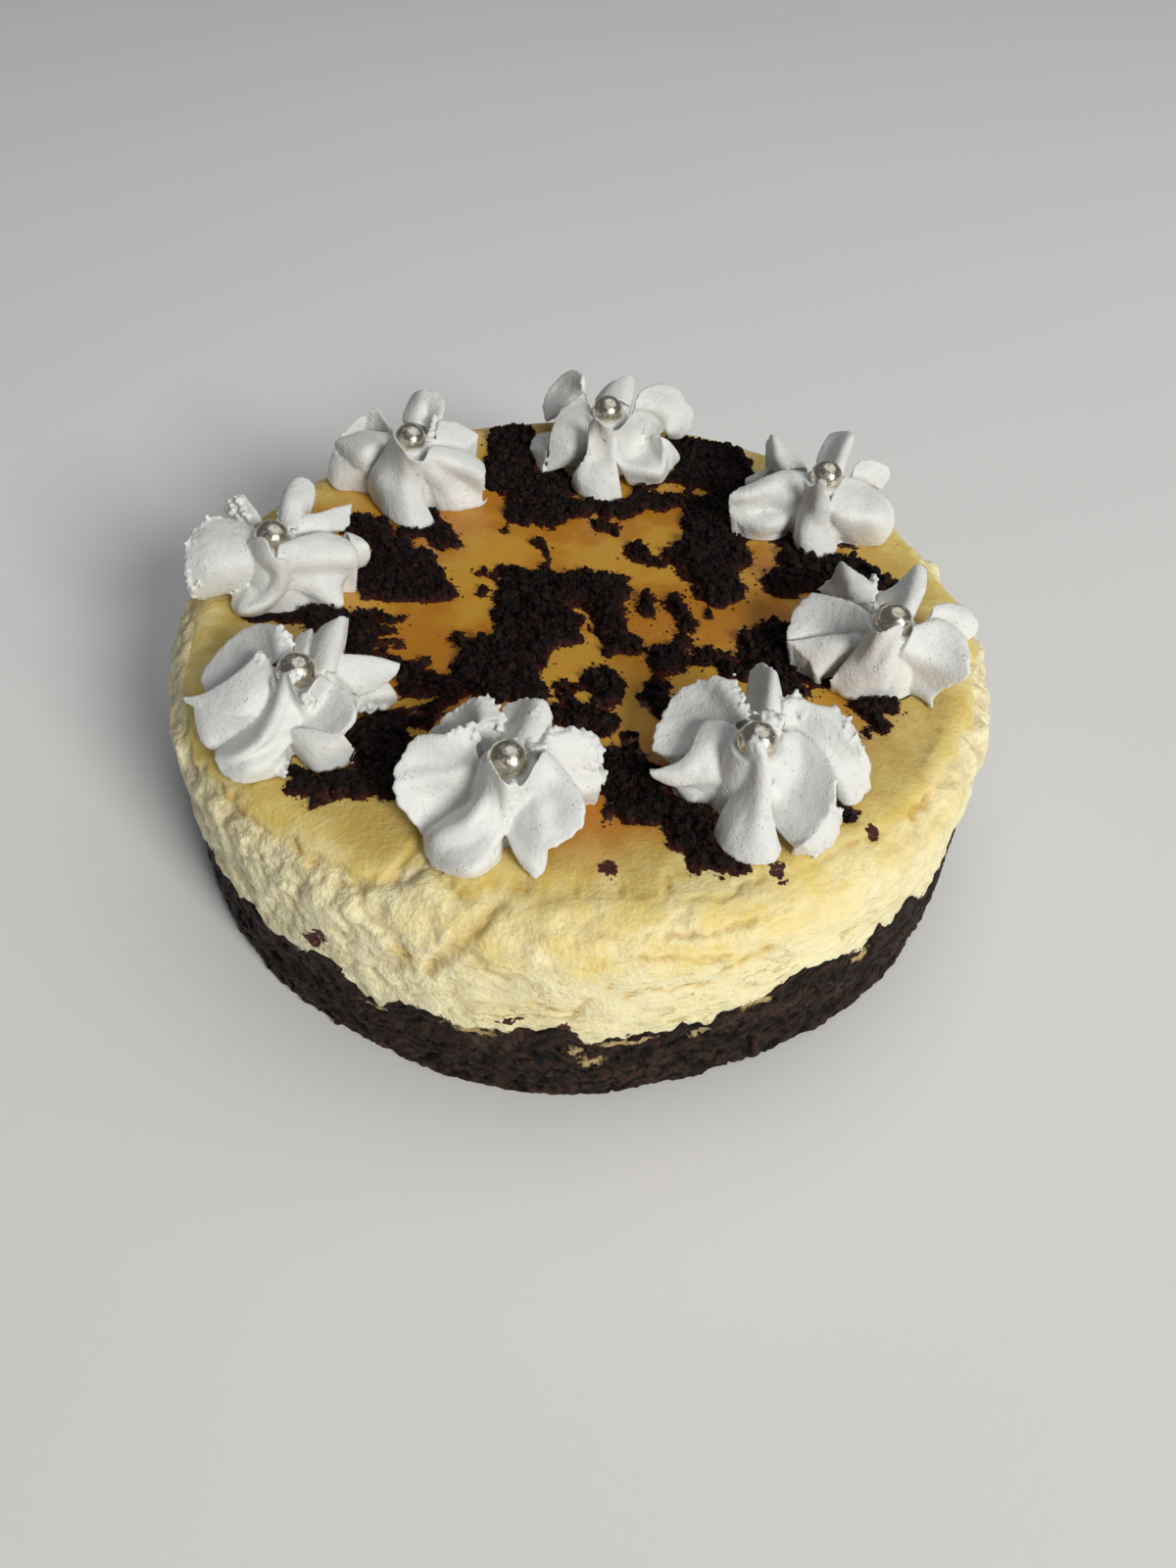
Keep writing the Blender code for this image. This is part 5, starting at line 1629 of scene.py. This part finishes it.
BACK_PETALS = (
    Petal("left_shell", (
        (-18, -9, 11, -21, -16, 11.6, -24, -23, 12.3), (-18, -2, 10.8, -27, -9, 11, -37, -13, 11.3),
        (-17, 8, 10, -31, 4, 10, -48, -4, 10), (-17, 18, 9, -35, 16, 9, -56, 14, 8.5),
        (-17, 26, 7.5, -37, 31, 7, -59, 31, 6), (-19, 33, 6, -37, 41, 5, -60, 46, 3.5),
        (-21, 38, 4, -39, 50, 2.5, -63, 59, 0.8),
    ), 0.2, rim_thickness=1.7),
    Petal("left_back_shell", (
        (-23, -24, 9, -37, -14, 7, -51, -2, 5, -62, 6, 3.5),
        (-22, -29, 10.5, -34, -26, 8.5, -51, -19, 6.2, -65, -9, 4.2),
        (-22, -34, 11.5, -31, -34, 10, -45, -32, 8.2, -59, -26, 6.5),
        (-22, -40, 12, -27, -45, 12, -34, -47, 11.5, -44, -42, 9.5),
    ), 0.2, rim_thickness=1.5),
    Petal("left_small", (
        (-57, 18, 5, -67, 19, 4, -74, 22, 3.2), (-57, 31, 5, -69, 31, 3.6, -78, 32, 2.5),
        (-59, 46, 3.5, -66, 46, 2.2, -73, 44, 1.2), (-62, 58, 1.5, -66, 59, 1, -70, 54, 0.6),
    ), 0.4, filled=True),
    Petal("front_tongue", (
        (-16, 12, 12.2, -21, 34, 9.2, -29, 50, 6, -35, 63, 3, -36, 71, 0.5),
        (-12, 6, 14, -16, 28, 10, -22, 46, 6.6, -27, 61, 4.4, -26, 82, 0.4),
        (-7, 0, 16, -10, 23, 10.8, -12, 42, 7, -14, 59, 5, -11, 88, 0.4),
        (-2, 6, 15.4, -1, 26, 10.2, -1, 43, 7, 0, 56, 5.6, 4, 87, 0.4),
        (5, 12, 13.4, 8, 28, 10, 9, 41, 7.8, 11, 51, 6.4, 16, 84, 0.4),
    ), 0.2, filled=True),
    Petal("right_front_shell", (
        (4, 16, 11, 7, 34, 8.4, 9, 45, 6.6, 14, 54, 4.6, 22, 70, 0.5),
        (11, 11, 12.4, 17, 31, 7, 22, 46, 4.6, 27, 55, 4.8, 29, 72, 0.4),
        (16, 5, 13.4, 29, 22, 6.6, 38, 39, 4.2, 43, 56, 4.8, 44, 70, 0.4),
        (21, 0, 13.2, 39, 12, 7.6, 50, 27, 5.6, 55, 54, 4.8, 56, 68, 0.5),
        (26, -4, 13, 43, 2, 10.6, 55, 14, 8.8, 60, 36, 7, 64, 58, 2),
    ), 0.2, rim_thickness=1.5),
    Petal("right_small", (
        (48, 20, 7.6, 53, 38, 5, 58, 57, 1.5), (59, 26, 6.4, 65, 40, 4, 65, 55, 1),
        (74, 44, 1.6, 73, 46, 1.2, 69, 50, 0.6),
    ), 0.3, filled=True),
    Petal("right_back_lobe", (
        (26, -6, 10, 41, -4, 8.5, 55, 4, 7, 61, 17, 5, 62, 23, 2),
        (27, -12, 11, 45, -13, 10, 63, -4, 8.5, 73, 11, 5.5, 75, 23, 2),
        (29, -17, 11.5, 45, -22, 11, 65, -19, 9.8, 79, -6, 7.5, 86, 12, 4),
        (30, -21, 12, 39, -28, 12, 59, -32, 11.3, 75, -24, 9.5, 84, -4, 7),
    ), 0.2, rim_thickness=1.9),
    Petal("back_tongue", (
        (-11, -14, 9.5, -7, -21, 10, -2, -28, 10.5), (-1, -16, 11.5, 2, -25, 12.4, 7, -35, 13.4),
        (13, -12, 12, 17, -26, 13, 22, -41, 14), (22, -7, 10.5, 27, -20, 11.5, 29, -38, 12.6),
    ), 0.2),
)

BACK_LEFT_PETALS = (
    Petal("left_pillow", (
        (-19, 2, 8.5, -33, 13, 7, -49, 24, 6, -63, 19, 5.5, -76, 2, 6),
        (-19, -4, 9.5, -31, 1, 9.5, -47, 7, 9.3, -63, 4, 8.5, -77, -2, 7.5),
        (-19, -9, 10, -30, -11, 10, -43, -13, 9.5, -57, -9, 9, -73, -5, 8.3),
    ), 0.1, rim_thickness=1.7),
    Petal("left_back_shell", (
        (-15, -5, 9, -29, -11, 8.4, -43, -13, 7.8, -57, -8, 7, -71, -3, 6),
        (-16, -12, 11, -27, -23, 11, -39, -29, 11, -55, -23, 10, -73, -8, 8),
        (-17, -15, 11.4, -25, -27, 12, -35, -38, 12.8, -53, -30, 11.8, -71, -13, 9),
    ), 0.3, filled=True),
    Petal("left_foot", (
        (-35, 31, 3.4, -39, 39, 2.2, -43, 49, 0.5), (-49, 24, 5.4, -55, 35, 3, -59, 46, 0.5),
        (-67, 17, 5.5, -73, 31, 3.3, -77, 44, 0.6), (-77, 5, 6, -82, 19, 4, -86, 35, 1.2),
    ), 0.2, filled=True),
    Petal("front_tongue", (
        (-18, -2, 12.6, -30, 13, 9, -40, 28, 6, -45, 41, 1.6),
        (-14, -9, 15, -23, 19, 9.8, -33, 39, 6.5, -39, 55, 1.2),
        (-9, -4, 15.8, -14, 25, 10, -18, 49, 6, -23, 75, 0.8),
        (-3, 5, 15.2, -4, 33, 9.2, -3, 57, 5.2, -3, 86, 0.5),
        (3, 13, 13.8, 8, 35, 7.8, 9, 53, 4.8, 14, 86, 0.4),
        (10, 18, 11.6, 15, 33, 7.4, 10, 48, 4.4, 25, 80, 0.5),
    ), 0.1, filled=True),
    Petal("right_front", (
        (8, 24, 10, 14, 34, 7.6, 20, 44, 5, 30, 66, 0.6),
        (10, 19, 11.4, 25, 33, 8, 37, 47, 4.6, 53, 66, 0.6),
        (13, 13, 12.4, 35, 27, 8.6, 55, 40, 5, 78, 59, 0.8),
        (17, 8, 12.6, 41, 18, 10.4, 61, 26, 8.6, 76, 35, 6.4),
        (22, 3, 12.4, 43, 4, 11, 61, 10, 9.4, 76, 21, 7.6),
    ), 0.3, rim_thickness=1.7, filled=True),
    Petal("right_back", (
        (23, 3, 10, 41, 2, 9.2, 57, 5, 8), (25, -9, 11.4, 45, -10, 10.4, 67, -4, 8.5),
        (27, -23, 12.4, 45, -22, 11.4, 69, -11, 9.5),
    ), 0.3, filled=True),
    Petal("back_tongue", (
        (-7, -21, 10, -7, -29, 10.5, -3, -40, 11.2, 2, -50, 12),
        (5, -18, 11, 6, -31, 12, 9, -43, 13, 12, -55, 14),
        (17, -13, 9.5, 18, -28, 11, 21, -41, 13, 25, -53, 14),
        (25, -7, 11, 29, -19, 12, 34, -31, 12.8, 36, -45, 13.4),
    ), 0.4, rim_thickness=1.5),
)

LEFT_PETALS = (
    Petal("left_lobe", (
        (-17, -15, 10.6, -32, -23, 11, -42, -26, 11.4, -51, -28, 11.6),
        (-15, -7, 10.8, -38, -14, 11.4, -59, -20, 11.6, -73, -19, 11.4),
        (-15, 3, 10.4, -40, -1, 11, -65, -4, 11.2, -86, 1, 10),
        (-17, 14, 9.2, -42, 15, 9.8, -65, 17, 9.6, -87, 19, 8.6),
        (-20, 24, 7.6, -44, 28, 7.8, -64, 32, 7.2, -85, 35, 6),
        (-25, 33, 5.6, -43, 38, 5.2, -61, 44, 4.2, -80, 52, 2.4),
        (-29, 40, 3.4, -40, 45, 2.6, -51, 50, 1.6, -65, 54, 0.5),
    ), 0.9, rim_thickness=2.0),
    Petal("back_left", (
        (-19, -15, 9, -29, -21, 9, -39, -27, 9, -48, -32, 9),
        (-15, -18, 10.4, -25, -29, 11, -34, -37, 11.4, -45, -44, 11.6),
        (-11, -20, 11, -19, -32, 12, -26, -42, 12.6, -34, -52, 13.2),
        (-8, -22, 11.2, -13, -30, 11.8, -18, -37, 12.2, -25, -48, 13),
    ), 0.6, rim_thickness=2.2),
    Petal("back_tongue", (
        (10, -19, 10, 8, -28, 10.6, 9, -38, 11.2, 11, -51, 12),
        (16, -16, 11, 15, -31, 12, 17, -48, 13.2, 21, -65, 14),
        (21, -14, 11, 24, -31, 11.8, 29, -48, 13, 31, -69, 14.3),
        (24, -18, 10, 31, -34, 11, 39, -48, 12, 42, -62, 13),
        (26, -24, 9, 34, -34, 9.8, 41, -38, 10.5, 44, -51, 11.5),
    ), 0.1, rim_thickness=1.9),
    Petal("right_back", (
        (19, -8, 9.5, 39, -12, 9, 57, -13, 8.6, 74, -14, 7.6),
        (22, -20, 10.6, 41, -22, 10.4, 61, -25, 9.8, 80, -25, 8.6),
        (30, -30, 11, 45, -31, 11, 63, -37, 10.6, 82, -42, 10),
    ), 0.4, 3.6, 2.6),
    Petal("right_ridge", (
        (7, 0, 12.6, 33, -9, 11.6, 55, -13, 10.8, 75, -6, 9.5, 85, 1, 8.5),
        (4, 9, 12, 35, 2, 11, 58, 0, 10, 77, 6, 9, 88, 12, 7.5),
        (3, 18, 10.6, 33, 16, 9.4, 57, 14, 8.7, 75, 17, 7.6, 87, 21, 6),
        (2, 28, 8.6, 31, 28, 6.8, 53, 29, 5.8, 71, 28, 5.2, 81, 28, 4.5),
        (4, 38, 6.4, 31, 41, 4.4, 51, 44, 3.8, 67, 42, 3.4, 72, 39, 2.5),
        (8, 47, 3.8, 33, 49, 2.4, 51, 57, 1.6, 65, 62, 1, 75, 61, 0.8),
    ), 0.2, rim_thickness=1.9, filled=True),
    Petal("right_tip", (
        (75, -12, 8.5, 83, -10, 8, 93, -6, 7.5), (79, 0, 8, 89, 1, 7.3, 100, 2, 6.8),
        (83, 12, 6, 91, 13, 5, 100, 13, 4.5), (85, 19, 4, 90, 22, 3, 95, 21, 2.5),
    ), 0.2, rim_thickness=1.9),
    Petal("front_curl", (
        (-21, -2, 11, -26, 12, 8, -23, 26, 5, -29, 38, 3, -39, 49, 1.2),
        (-16, -7, 13.2, -17, 12, 9.4, -15, 32, 4.8, -25, 48, 3, -41, 60, 0.8),
        (-9, -9, 14.8, -7, 12, 11.4, -4, 34, 5.4, -13, 54, 3.2, -31, 66, 2.2, -34, 71, 0.4),
        (-1, -6, 15.2, 3, 15, 11.6, 7, 32, 8, 2, 50, 4.4, -11, 64, 2.6, -15, 71, 0.4),
        (7, 11, 12.4, 13, 24, 9.6, 12, 42, 5.8, 7, 54, 3.2, 4, 63, 0.5),
        (13, 16, 10.8, 19, 30, 7.4, 19, 42, 4, 21, 52, 0.8),
    ), 0.2, filled=True),
)

FRONT_LEFT_PETALS = (
    Petal("back_shell", (
        (-47, 8, 4.5, -64, 10, 4, -81, 13, 3.5, -101, 14, 3),
        (-41, -2, 6.5, -61, -4, 5.8, -81, -2, 5, -103, 0, 4.2),
        (-34, -10, 8.5, -53, -17, 7.8, -71, -22, 7, -90, -23, 6),
        (-29, -14, 10, -41, -28, 9.5, -54, -37, 9, -68, -44, 8.6),
        (-25, -15, 11, -31, -32, 11, -38, -44, 11, -47, -56, 11.2),
        (-21, -15, 12, -23, -30, 12.4, -24, -42, 12.8, -26, -53, 13.2),
        (-11, -17, 10.5, -12, -30, 11, -15, -39, 11.5, -22, -50, 12.6),
    ), 0.4),
    Petal("left_shell", (
        (-23, -6, 11, -37, -17, 11.5, -45, -25, 12, -61, -10, 10.5, -81, 5, 9, -103, 17, 7.5, -122, 20,
         6.5),
        (-22, 2, 10.5, -39, -2, 10.5, -54, 1, 10, -74, 11, 9, -99, 21, 7.5, -122, 21, 6.5),
        (-23, 10, 9, -39, 14, 9, -57, 19, 8.8, -77, 26, 8, -99, 28, 7, -120, 23, 6.3),
        (-29, 23, 7, -41, 32, 7, -59, 39, 7.2, -77, 39, 7, -99, 34, 6.5, -119, 25, 6),
    ), 0.1, rim_thickness=1.8),
    Petal("left_wall", (
        (-39, 34, 7, -43, 41, 5.4, -47, 48, 3), (-61, 37, 7.2, -62, 47, 4.6, -63, 57, 1),
        (-80, 36, 7, -80, 53, 3.6, -78, 69, 0.5), (-97, 31, 6.6, -97, 53, 3, -93, 72, 0.5),
        (-111, 25, 6.2, -109, 44, 3, -104, 64, 0.6),
    ), 0.2, 2.4, 2.0, filled=True),
    Petal("front_left_tongue", (
        (-24, 20, 7, -37, 36, 5, -59, 50, 3, -77, 65, 1.5, -90, 76, 0.8),
        (-17, -3, 13.4, -22, 18, 10.6, -30, 38, 8.6, -45, 64, 6.4, -66, 77, 4.7, -90, 80, 2.5),
        (-10, -7, 15.2, -14, 20, 10, -21, 43, 7.6, -37, 66, 5.4, -64, 84, 3.6, -85, 94, 0.8),
        (-6, 2, 14.8, -6, 25, 9, -14, 49, 6.5, -31, 70, 4.4, -53, 91, 3.4, -65, 106, 0.4),
        (-2, 14, 12.6, -1, 32, 7.6, -8, 51, 5.5, -20, 71, 4, -37, 90, 3, -41, 103, 0.4),
        (-1, 22, 8, 1, 36, 6, -6, 50, 4.5, -16, 66, 3.2, -18, 82, 2.2, -19, 96, 0.5),
    ), 0.2, filled=True),
    Petal("front_right_bowl", (
        (-5, 26, 9, -3, 40, 6.6, -2, 50, 5.4, -1, 59, 4.6),
        (-1, 16, 12.4, 7, 36, 7.4, 13, 51, 6.4, 20, 61, 6),
        (4, 9, 14.4, 17, 26, 8.4, 27, 42, 7.8, 37, 57, 8),
        (9, 1, 15.2, 24, 14, 10, 41, 30, 9.8, 49, 47, 9.6),
        (17, -4, 14, 30, 3, 11.8, 44, 12, 11.2, 55, 32, 10.8),
    ), 0.2, 2.2, 1.3),
    Petal("front_right_foot", (
        (-12, 51, 6, -9, 65, 4, -4, 79, 0.6), (-3, 50, 7, 0, 68, 4.6, 5, 90, 0.6),
        (9, 51, 7.4, 11, 72, 4.8, 16, 95, 0.6), (22, 53, 7.6, 26, 72, 5, 32, 92, 0.6),
        (33, 54, 7.8, 40, 68, 5.2, 47, 85, 0.8), (41, 54, 7.8, 49, 64, 5.8, 57, 74, 3),
    ), 0.2, filled=True),
    Petal("right_upper", (
        (34, -2, 9, 43, 6, 8, 51, 14, 6.5, 57, 20, 5), (34, -10, 10, 49, -4, 9, 65, 3, 7.5, 83, 7, 6),
        (35, -17, 10.5, 53, -14, 10, 75, -10, 9, 96, -6, 7.5),
        (35, -24, 11, 53, -24, 10.8, 75, -22, 10, 100, -15, 8.5),
    ), 0.2, rim_thickness=1.5),
    Petal("right_lower", (
        (49, 12, 5, 54, 24, 3, 59, 32, 0.5), (61, 6, 5.5, 69, 20, 3.6, 74, 30, 0.5),
        (75, 4, 5.2, 85, 17, 3.6, 90, 28, 0.5), (85, 4, 4.6, 94, 14, 3.2, 99, 22, 0.6),
    ), 0.1, filled=True),
    Petal("back_right", (
        (9, -14, 9, 9, -28, 9.8, 13, -42, 10.6, 18, -52, 11.4),
        (16, -8, 10.5, 19, -27, 12, 24, -44, 13, 30, -59, 13.8),
        (25, -5, 11, 31, -22, 12, 36, -40, 13, 41, -64, 14.3),
        (33, -8, 9.5, 38, -22, 10.2, 43, -37, 11, 47, -60, 12.6),
    ), 0.2),
    Petal("back_small", (
        (-6, -18, 8.5, -9, -24, 8.7, -11, -32, 9), (-1, -18, 9, -3, -32, 9.4, -3, -45, 9.8),
        (5, -18, 10, 7, -34, 10.6, 10, -52, 11),
    ), 0.2),
)

FLOWERS = (
    CreamFlower("front", 52.4, -100.7, (519, 778), FRONT_PETALS, (
        (22, -20, 12.4, 29, -13, 12.4, 36, -17, 12.4), (1, 20, 13.4, 5, 28, 11.6, 1, 42, 8),
        (-21, -66, 13.5, -9, -50, 12.3, -7, -34, 11), (30, -56, 14, 19, -38, 12.6, 9, -21, 11.2),
        (-61, -29, 12.8, -37, -37, 13.2, -32, -21, 12), (34, -20, 12.4, 47, -31, 12.2, 65, -31, 11.4),
        (65, -31, 11.4, 87, -25, 10, 94, -4, 8), (93, 6, 5, 95, 20, 3.8),
    )),
    CreamFlower("front_right", 53.1, -58.3, (773, 757), FRONT_RIGHT_PETALS, (
        (-24, -64, 13.5, -16, -45, 13, -11, -23, 12), (24, -41, 12.6, 44, -45, 12.6, 45, -27, 11.6),
        (74, -35, 12, 85, -28, 11.6, 91, -15, 11), (2, -29, 13.4, 15, -26, 13.4, 27, -20, 12.8),
        (77, 66, 7, 84, 77, 2.4, 68, 106, 1), (68, 106, 1, 49, 113, 0.8),
    )),
    CreamFlower("right", 55.2, -15.1, (912, 641), RIGHT_PETALS, (
        (-19, -53, 12, -20, -37, 11),
    )),
    CreamFlower("back_right", 56.0, 33.5, (844, 495), BACK_RIGHT_PETALS),
    CreamFlower("back", 53.1, 86.6, (619, 424), BACK_PETALS),
    CreamFlower("back_left", 52.8, 133.5, (419, 453), BACK_LEFT_PETALS, (
        (24, -28, 13, 21, -13, 12, 17, -1, 11),
    )),
    CreamFlower("left", 56.5, 177.4, (277, 556), LEFT_PETALS, (
        (-86, 1, 10.2, -73, -19, 11.6, -51, -28, 11.8), (-87, 19, 8.8, -85, 35, 6.2, -79, 50, 3),
        (-19, -21, 10.4, -27, -32, 12, -34, -48, 13.4), (-25, -19, 9.6, -33, -29, 11, -42, -40, 11.8),
        (8, -38, 11.4, 11, -24, 11), (16, 47, 3.4, 19, 54, 1.6),
        (-77, 5, 9.7, -57, -6, 10.7, -35, -8, 10.8), (-79, 26, 7.2, -59, 20, 8.8, -35, 14, 9.4),
        (-71, 41, 4.4, -53, 33, 6.4, -33, 28, 7.2), (-81, 15, 8.6, -63, 7, 9.9, -39, 3, 10.4),
    )),
    CreamFlower("front_left", 56.0, -143.0, (309, 692), FRONT_LEFT_PETALS, (
        (-10, -6, 14.6, -9, 2, 14), (3, 16, 13.4, 5, 24, 11.2), (-22, -50, 12.8, -13, -37, 11.8),
        (-18, 86, 1.2, -23, 100, 0.8), (-45, -24, 12, -37, -16, 11.6), (36, -24, 11, 33, -10, 10),
        (57, 30, 2, 75, 31, 1.2, 87, 28, 1),
    )),
)


@dataclass(frozen=True)
class SugarPearl:
    """The silver sugar pearl in a flower's middle."""

    flower: CreamFlower
    radius: float = 3.25
    centre_height: float = 12.0
    rows: int = 40
    columns: int = 64

    def build(self, form: CakeForm, noise: Noise, material: Material) -> Piece:
        """Build the pearl: a ball of rings with shallow dents from a 2 mm noise."""
        polar = np.linspace(-0.5 * math.pi, 0.5 * math.pi, self.rows + 2)[1:-1]
        radius = np.repeat(self.radius * np.cos(polar)[:, None], self.columns, axis=1)
        height = np.repeat(self.radius * np.sin(polar)[:, None], self.columns, axis=1)
        points, outward = form.revolve(radius, height, (np.cos(polar), np.sin(polar)))
        shift = np.append(self.flower.middle, form.height + self.centre_height)
        points = points + outward * (0.05 * noise.fractal(points + shift, 2.0, 3))[:, None] + shift
        points, faces = form.close_poles(points, self.rows, self.columns)
        return make_piece(f"silver_pearl_{self.flower.name}", points, faces, material)


@dataclass(frozen=True)
class Lamp:
    """One soft area light that faces the cake."""

    name: str
    place: Place
    width: float
    power: float
    tint: Colour = (1.0, 1.0, 1.0)


@dataclass(frozen=True)
class Studio:
    """Floor, light and camera. Lengths here are metres, except the camera's own."""

    camera: PhotoCamera
    sensor: float = 36.0
    sky: float = 0.10
    lamps: tuple[Lamp, ...] = (
        Lamp("window", (1.54, -2.05, 1.54), 1.0, 70.0, (1.0, 0.98, 0.95)),
        Lamp("ceiling", (0.30, 0.25, 1.10), 1.4, 3.2, (0.97, 0.98, 1.0)),
    )

    def build(self, material: Material) -> None:
        """Set up floor, world, lamps and camera."""
        half = 2000.0
        corners = np.array([(-half, -half, 0.0), (half, -half, 0.0), (half, half, 0.0), (-half, half, 0.0)])
        floor = make_piece("floor", corners, (np.array([(0, 1, 2, 3)]),), material)
        world = bpy.data.worlds.new("studio")
        world.use_nodes = True
        world.node_tree.nodes["Background"].inputs["Color"].default_value = (0.93, 0.96, 1.0, 1.0)
        world.node_tree.nodes["Background"].inputs["Strength"].default_value = self.sky
        bpy.context.scene.world = world
        bpy.context.scene.view_settings.view_transform = "Standard"
        for lamp in self.lamps:
            self.hang(lamp)
        self.set_camera()

    def hang(self, lamp: Lamp) -> None:
        """Place one lamp and turn it toward the cake."""
        data = bpy.data.lights.new(lamp.name, "AREA")
        data.shape = "DISK"
        data.size = lamp.width
        data.energy = lamp.power
        data.color = lamp.tint
        item = show(lamp.name, data)
        back = np.array(lamp.place) - np.array((0.0, 0.0, 0.03))
        back /= np.linalg.norm(back)
        side = np.cross((0.0, 0.0, 1.0), back)
        side /= np.linalg.norm(side)
        item.matrix_world = self.axes(side, np.cross(back, side), back, np.array(lamp.place))

    def axes(self, side: Array, up: Array, back: Array, place: Array) -> Matrix:
        """Transform from three axes and a place."""
        rows = [(float(side[row]), float(up[row]), float(back[row]), float(place[row])) for row in range(3)]
        return Matrix((*rows, (0.0, 0.0, 0.0, 1.0)))

    def set_camera(self) -> None:
        """The camera of the photograph: it looks down by pitch and is rolled a little."""
        side, up, back = self.camera.axes()
        data = bpy.data.cameras.new("photo_view")
        data.lens = self.camera.focal / (2.0 * self.camera.middle[1]) * self.sensor
        data.sensor_width = self.sensor
        data.clip_start = 0.01
        item = show("photo_view", data)
        item.matrix_world = self.axes(side, up, back, np.array(self.camera.eye) * MM)
        bpy.context.scene.camera = item


def main() -> None:
    """Build the cake in order, then the studio."""
    form = CakeForm()
    noise = Noise(20)
    draw = np.random.default_rng(7)
    brownie = BrownieBase(form, noise).build(BrownieFinish().material())
    enrol(brownie, "brownie_base")

    cover = Cover()
    camera = PhotoCamera()
    cream = CreamFinish().material()
    silver = SilverFinish().material()
    for flower in FLOWERS:
        enrol(flower.build(form, camera, noise, cream, cover), f"flower_{flower.name}")
        enrol(SugarPearl(flower).build(form, noise, silver), f"pearl_{flower.name}")

    patches = CrumbPatches(form, noise)
    enrol(CheeseLayer(form, noise).build(CheeseFinish().material(), patches), "cheese_layer")
    crumb = CrumbFinish().material()
    enrol(patches.bed(crumb, cover), "cheese_layer")
    coarse = patches.scatter("crumbs_coarse", 13000, 1, (0.4, 1.2), 0.3, crumb, cover, draw)
    enrol(coarse, "cheese_layer")
    fine = patches.scatter("crumbs_fine", 60000, 0, (0.2, 0.55), -2.5, crumb, cover, draw)
    enrol(fine, "cheese_layer")

    Studio(camera).build(FloorFinish().material())


if __name__ == "__main__":
    main()
